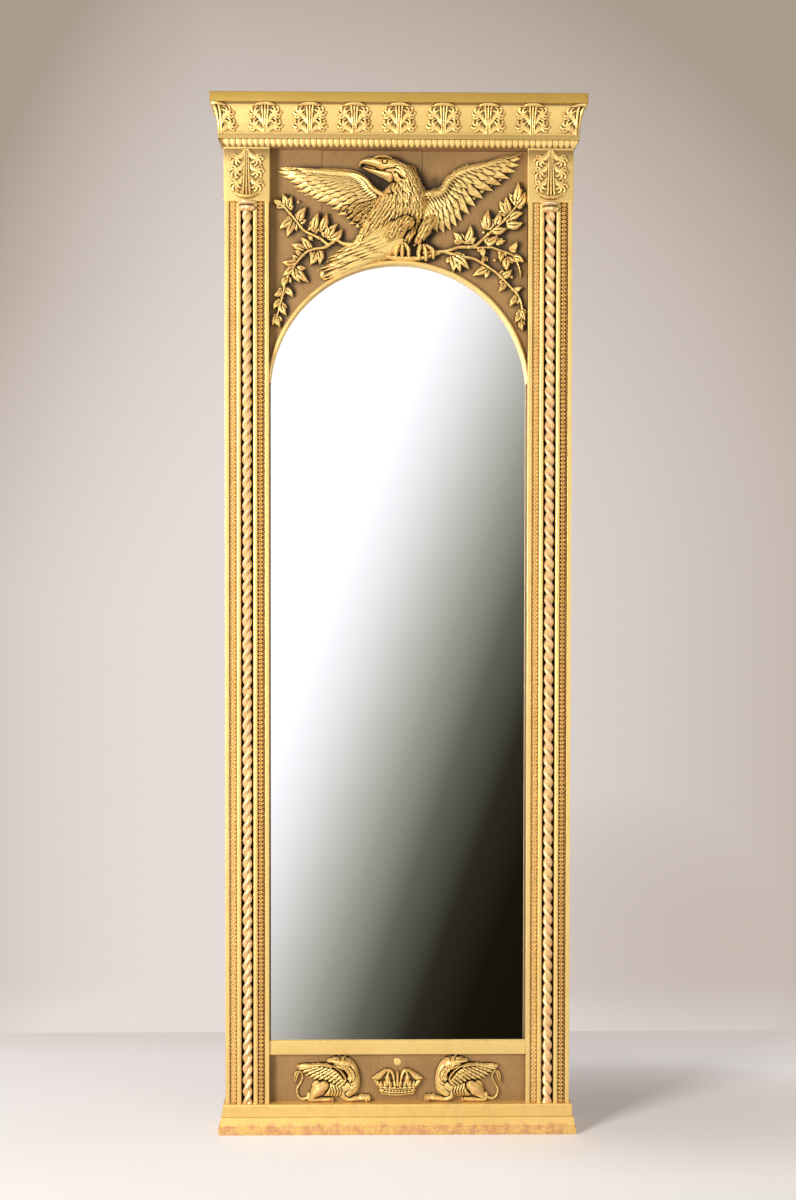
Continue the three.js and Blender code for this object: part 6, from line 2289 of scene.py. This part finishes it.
    @staticmethod
    def head(relief: Relief) -> None:
        """The head turned back: muzzle, jaw, brow, ears and a mane of curls down the back of the neck.

        Args:
            relief: The carving.
        """
        relief.cut([(150, 152), (136, 142), (124, 126)], [2.4, 2.6, 1.8], 14)
        relief.stroke([(118, 158), (130, 163), (142, 165)], [16, 15, 11.5], [22, 24, 22])
        relief.stroke([(138, 167), (150, 167), (160, 166)], [8.6, 7.4, 5.4], [24, 21, 15])
        relief.stroke([(128, 152), (144, 156), (156, 159.5)], [7, 5.4, 3.0], [22, 18, 12])
        relief.cut([(163, 162.5), (154, 162), (145, 160.5)], [0.9, 1.1, 0.7], 7)
        relief.stroke([(153, 172), (144, 174), (136, 173)], [1.8, 2.6, 1.6], [22, 26, 23])
        relief.bead(145.5, 168.5, 2.8, 25)
        relief.pit(145.5, 168.5, 0.8, 3.5)
        relief.pit(158.9, 168, 0.8, 4)
        for root, tip in (((133, 171), (137, 180.5)), ((124, 169), (121, 179))):
            relief.stroke([root, tip], [4.2, 3.6, 0.8], [25, 22, 14], Section.GUTTER)
        for k in range(9):
            share = k / 8
            x, z = 128 - 20 * math.sin(share * 1.9), 164 - 34 * share
            for row in range(2):
                curl = (x + 6.5 * row - 2, z - 3 * row)
                relief.stroke([curl, (curl[0] - 3.6, curl[1] - 3), (curl[0] - 2.6, curl[1] - 8)],
                              [2.2, 3.0, 2.6, 0.6], [3, 3.6, 2.6], Section.GUTTER, (20 + row, 21 + row))

    def crown(self) -> Surface:
        """An open crown: a banded rim with holes, a row of leaves, ribs to two peaks, pearls and a disc.

        Returns:
            The crown.
        """
        relief = Relief(-64, 64, 80, 176, 0.8)
        relief.stroke([(-36, 97), (-18, 95), (0, 94.4), (18, 95), (36, 97)], [7.6, 8.2, 8.4, 8.2, 7.6],
                      [11, 14, 15.5, 14, 11])
        for level, size in ((87.6, 2.3), (102.4, 2.4)):
            relief.stroke([(-37, level + 2.4), (-20, level + 0.6), (0, level), (20, level + 0.6),
                           (37, level + 2.4)], [size] * 2,
                          [14, 17, 18.5, 17, 14])
        for k in range(-4, 5):
            relief.pit(k * 7.4, 95 + 0.09 * k * k, 1.5, 7, 1.4)
        for hand in (-1, 1):
            ribs = (
                ([(16, 142), (27, 142.5), (37, 134.5), (45, 127.5), (57, 125)], [4.4, 4.6, 6.4, 9.0, 3.0]),
                ([(17, 142), (12.5, 137), (9, 127), (7, 108)], [4.4, 3.4, 3.4, 5.5]),
                ([(19, 142), (22, 136), (23.5, 127), (23, 117), (25, 107)], [3.2, 3.0, 7.0, 7.5, 8.5]),
                ([(50, 121), (45, 112), (38, 104)], [5.5, 6.0, 5.0]),
            )
            for path, half in ribs:
                relief.stroke([(hand * x, z) for x, z in path], half, [11, 14, 13])
            for k, (x, z) in enumerate(smooth_path([(55, 126), (46, 130), (38, 137), (28, 144), (17, 145)],
                                                   4)):
                relief.bead(hand * x, z, 2.2, 15.0 + 0.1 * k)
            for x, z, size in ((51, 119, 4.6), (45, 111, 4.4), (39, 104.5, 4.0)):
                relief.bead(hand * x, z, size, 15.5)
            for x in (6, 17, 29, 38):
                relief.stroke([(hand * x, 103), (hand * x, 109), (hand * (x + 1), 116)],
                              [4.6, 5.6, 3.4], [15, 17, 13])
                relief.pit(hand * x, 108, 1.2, 8)
            for x, z in ((39, 119.5), (12.5, 119), (32, 121)):
                relief.pit(hand * x, z, 2.2, 12)
        relief.stroke([(0, 139), (0, 126), (0, 108)], [2.8, 3.4, 5.4], [14, 15, 14])
        relief.bead(0, 161, 8.4, 1.0)
        return relief.surface(on_ground(self.ground))

    def make(self, workshop: Workshop) -> None:
        """Builds and dresses the rail, the griffins and the crown.

        Args:
            workshop: The finishes.
        """
        rail = add_piece("sight_rail_moulding", self.rail(), workshop[Finish.MOULDING],
                         ["sight_rail"])
        rail.visible_glossy = False
        gold = workshop[Finish.CARVING]
        for side, sign in SIDES:
            add_piece(f"carved_griffin_{side}", self.griffin(sign), gold,
                      [f"griffin_{side}"], sharp_angle=80)
        add_piece("carved_crown", self.crown(), gold, ["crown"], sharp_angle=80)


# ---------------------------------------------------------------- studio
@dataclass
class Studio:
    """The photograph's camera, a pale floor and backdrop, soft lamps and the room that the plate reflects."""

    eye: tuple[float, float, float] = (-0.0637, -3.9966, 1.3445)
    yaw: float = 0.0159
    pitch: float = -0.0258
    roll: float = 0.0015
    lens: float = 51.49
    wall_y: float = 0.82
    card_y: float = -4.5
    plate_y: float = 0.00775
    sensor: float = 36.0
    picture_width: int = 796
    picture_height: int = 1200
    wall_half: float = 5.0
    floor_half: float = 9.0
    card_half: float = 7.0
    shaded_floor_x: float = 0.6
    key_power: float = 160.0
    fill_power: float = 34.0

    def camera(self) -> None:
        """Adds the camera; its sensor's height is the picture's height."""
        data = bpy.data.cameras.new("viewpoint")
        data.sensor_fit = "VERTICAL"
        data.sensor_height = self.sensor
        data.lens = self.lens
        data.clip_start = 0.05
        data.clip_end = 60.0
        camera = bpy.data.objects.new("viewpoint", data)
        camera.location = self.eye
        turn = Euler((math.pi / 2 + self.pitch, 0, -self.yaw), "XYZ").to_matrix()
        tilt = Euler((0, 0, self.roll), "XYZ").to_matrix()
        camera.rotation_euler = (turn @ tilt).to_euler()
        bpy.context.scene.collection.objects.link(camera)
        bpy.context.scene.camera = camera

    @staticmethod
    def sheet(
        name: str, corners: Sequence[Sequence[float]], material: bpy.types.Material, unseen: Sequence[str]
    ) -> None:
        """A flat stage object from four corners in metres, declared as stage.

        Args:
            name: Its name.
            corners: Its corners in turn.
            material: Its finish.
            unseen: The kinds of ray that don't see it.
        """
        mesh = bpy.data.meshes.new(name)
        mesh.from_pydata([Vector(corner) for corner in corners], [], [tuple(range(len(corners)))])
        mesh.materials.append(material)
        obj = bpy.data.objects.new(name, mesh)
        bpy.context.scene.collection.objects.link(obj)
        for ray in unseen:
            setattr(obj, f"visible_{ray}", False)
        obj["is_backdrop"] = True

    def backdrop(self) -> None:
        """A pale warm wall with a tone of its own for camera, glossy and transmission rays, open from behind.

        Its tone is painted light and shade: it falls off with the square of the way to each side and upwards,
        dips in a painted shadow round the shaded floor on the right and lifts along the floor, as a wall lit
        by one wide lamp does.
        """
        material, shade = fresh_material("backdrop_paper")
        x, z = shade.places("X", "Z")
        right = (x + 0.5).clamped(0.0, 3.0)
        left = (-0.5 - x).clamped(0.0, 3.0)
        high = (z - 1.2).clamped(0.0, 3.0)
        beside, above = x - self.shaded_floor_x, z - 0.25
        # Painted shadow of the mirror on the wall, on the right and low down.
        dim = (1 - (beside * beside * 4.0 + above * above * 5.0)).clamped()
        bright = 1.0 - right * right * 0.2 - left * left * 0.75 - high * high * 0.22 - dim * 0.2
        bright = bright + (1 - z.step(0.0, 0.16)) * 0.16 - left * high.clamped(0.0, 0.9) * 0.5
        tone = shade.mix(bright.clamped(0.12, 1.0), linear(160, 144, 127), linear(231, 221, 217))
        rays = ("Is Camera Ray", "Is Glossy Ray", "Is Transmission Ray")
        camera, glossy, through = shade.outputs("ShaderNodeLightPath", {}, rays)
        seen = (camera + glossy + through).clamped()
        plain = shade.node("ShaderNodeBsdfDiffuse", {}, {"Color": linear(222, 213, 207)})
        face = shade.blend(seen, plain, shade.glow(tone))
        behind = shade.node("ShaderNodeNewGeometry", {}, {}, "Backfacing")
        shade.surface(shade.blend(behind, face, shade.node("ShaderNodeBsdfTransparent", {}, {})))
        w, y = self.wall_half, self.wall_y
        self.sheet("backdrop", [(-w, y, 0), (w, y, 0), (w, y, w), (-w, y, w)], material,
                   ("shadow", "diffuse"))

    def floor(self) -> None:
        """A pale painted floor with faint scuffs; away from the mirror's shadow it glows a little, as painted
        light.
        """
        material, shade = fresh_material("floor_paint")
        scuffs = shade.noise(3.0, 5.0)
        grain = shade.noise(60.0, 3.0)
        colour = shade.mix((scuffs * 0.6 + grain * 0.3 - 0.2).clamped(), linear(255, 249, 245),
                           linear(246, 236, 228))
        paint = shade.principled(colour, 0.7, normal=shade.bump(grain, 0.05, 0.001))
        across, away = shade.places("X", "Y")
        far = away.step(0.5, self.wall_y)
        beside, behind = across - self.shaded_floor_x, away - 0.1
        # Painted light: the glow is strongest clear of the mirror's shadow on the right.
        clear = (beside * beside * 2.2 + behind * behind * 5.0).clamped()
        glow = shade.glow(shade.mix(far, linear(255, 250, 248), linear(226, 216, 212)))
        camera = shade.node("ShaderNodeLightPath", {}, {}, "Is Camera Ray")
        shade.surface(shade.blend(camera * (0.1 + far * 0.55 + clear * (1 - far) * 0.34), paint, glow))
        w = self.floor_half
        self.sheet("floor", [(-w, -w, 0), (w, -w, 0), (w, w, 0), (-w, w, 0)], material, ("glossy",))

    def reflected_room(self) -> None:
        """The dim room that the plate shows: a card behind the camera, pale at upper left, dark at the right.

        A point of the plate at (x, z) shows the card at x + (x - eye) * reach, with reach the card's distance
        over the eye's, so the picture's slanted fade is one straight ramp across the card. The ramp's places
        are the picture's own, 796 by 1200, along a line that slants down to the right.
        """
        material, shade = fresh_material("reflected_room")
        x, z = shade.places("X", "Z")
        eye_distance = self.plate_y - self.eye[1]
        reach = (self.plate_y - self.card_y) / eye_distance
        focal = self.lens / self.sensor * self.picture_height
        per_metre = focal / eye_distance / (1 + reach)
        slant_across, slant_down = 0.939, 0.344
        centre_x = self.eye[0] + eye_distance * math.tan(self.yaw)
        centre_z = self.eye[2] + eye_distance * math.tan(self.pitch)
        card_x = centre_x + (centre_x - self.eye[0]) * reach
        card_z = centre_z + (centre_z - self.eye[2]) * reach
        ramp_place = (self.picture_width / 2 + (x - card_x) * per_metre) * slant_across
        ramp_place = ramp_place + (self.picture_height / 2 - (z - card_z) * per_metre) * slant_down
        low, high = 500.0, 860.0
        tones = ((low, 268), (556, 236), (602, 197), (645, 153), (690, 97), (741, 43),
                 (790, 21), (high, 18))
        stops = []
        for t, tone in tones:
            warm = float(np.interp(tone, [20, 60, 200, 240], [4.0, 0.5, 0.0, 0.0]))
            cool = float(np.interp(tone, [20, 100, 200, 240], [-10.0, -11.0, -6.0, 4.0]))
            stops.append(((t - low) / (high - low), linear(tone + warm, tone, tone + cool)))
        along = ((ramp_place - low) / (high - low)).clamped()
        fade = shade.node("ShaderNodeValToRGB", {"stops": stops}, {"Fac": along})
        sharp = shade.node("ShaderNodeLightPath", {}, {}, "Is Singular Ray")
        plain = shade.glow(linear(226, 218, 208), 0.8)
        shade.surface(shade.blend(sharp, plain, shade.glow(fade, 1.04)))
        w, y = self.card_half, self.card_y
        self.sheet("reflected_room", [(-w, y, -5), (w, y, -5), (w, y, 8), (-w, y, 8)], material,
                   ("camera", "diffuse", "shadow", "transmission"))

    def lamps(self) -> None:
        """A large soft key from the front left at half height, and a weak fill from the front right."""
        for name, where, aim, size, power in (
            ("key_lamp", (-2.5, -2.7, 1.6), (0.0, 0.0, 0.8), (1.1, 1.3), self.key_power),
            ("fill_lamp", (2.6, -3.0, 1.2), (0.0, 0.0, 1.0), (2.0, 2.0), self.fill_power),
        ):
            data = bpy.data.lights.new(name, "AREA")
            data.shape = "RECTANGLE"
            data.size, data.size_y = size
            data.energy = power
            lamp = bpy.data.objects.new(name, data)
            lamp.location = where
            lamp.rotation_euler = (Vector(aim) - Vector(where)).to_track_quat("-Z", "Y").to_euler()
            bpy.context.scene.collection.objects.link(lamp)

    def air(self) -> None:
        """Even pale light from all round."""
        world = bpy.data.worlds.new("studio_air")
        bpy.context.scene.world = world
        shade = Shader(world)
        path = shade.node("ShaderNodeLightPath", {}, {}, "Is Camera Ray")
        strength = path * 0.34 + 0.33
        background = shade.node("ShaderNodeBackground", {}, {"Color": linear(232, 222, 214),
                                                             "Strength": strength})
        shade.node("ShaderNodeOutputWorld", {}, {"Surface": background})

    def make(self) -> None:
        """Sets the view transform and adds the camera, the stage and the lamps."""
        bpy.context.scene.view_settings.view_transform = "Standard"
        self.camera()
        self.floor()
        self.backdrop()
        self.reflected_room()
        self.lamps()
        self.air()


def dress_frame_nodes(workshop: Workshop) -> None:
    """Gives each CAD node the finish of the first name start that fits it.

    Args:
        workshop: The finishes.
    """
    finishes = {
        "carcass_stile": Finish.STILE, "carcass": Finish.PINE, "mirror_plate": Finish.PLATE,
        "plate_batten": Finish.PINE, "back_board_1": Finish.DARK_PINE, "back_board_3": Finish.DARK_PINE,
        "back_board": Finish.PINE, "eagle_ground": Finish.GROUND,
        "griffin_ground": Finish.GROUND, "cornice_core": Finish.PINE, "hanger": Finish.IRON,
        "bead": Finish.CARVING, "rope": Finish.COLUMN, "capital_leaf": Finish.CARVING,
        "cornice_leaf": Finish.CARVING, "eagle": Finish.CARVING, "branch": Finish.CARVING,
        "griffin": Finish.CARVING, "crown": Finish.CARVING, "base": Finish.FOOT, "": Finish.MOULDING,
    }
    for name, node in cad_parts.items():
        finish = next(finish for start, finish in finishes.items() if name.startswith(start))
        node.data.materials.clear()
        node.data.materials.append(workshop[finish])


def main() -> None:
    """Builds the studio, dresses the carried-over nodes and makes each sub-assembly."""
    workshop = Workshop()
    Studio().make()
    dress_frame_nodes(workshop)
    for side, sign in SIDES:
        Pilaster(side, sign).make(workshop)
        Capital(side, sign).make(workshop)
    Cornice().make(workshop)
    Base().make(workshop)
    EaglePanel().make(workshop)
    GriffinPanel().make(workshop)


if __name__ == "__main__":
    main()
    visual_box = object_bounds()
    boxes = {"cad": CAD_BOX, "visual": visual_box}
    {name: [list(corner) for corner in box] for name, box in boxes.items()}
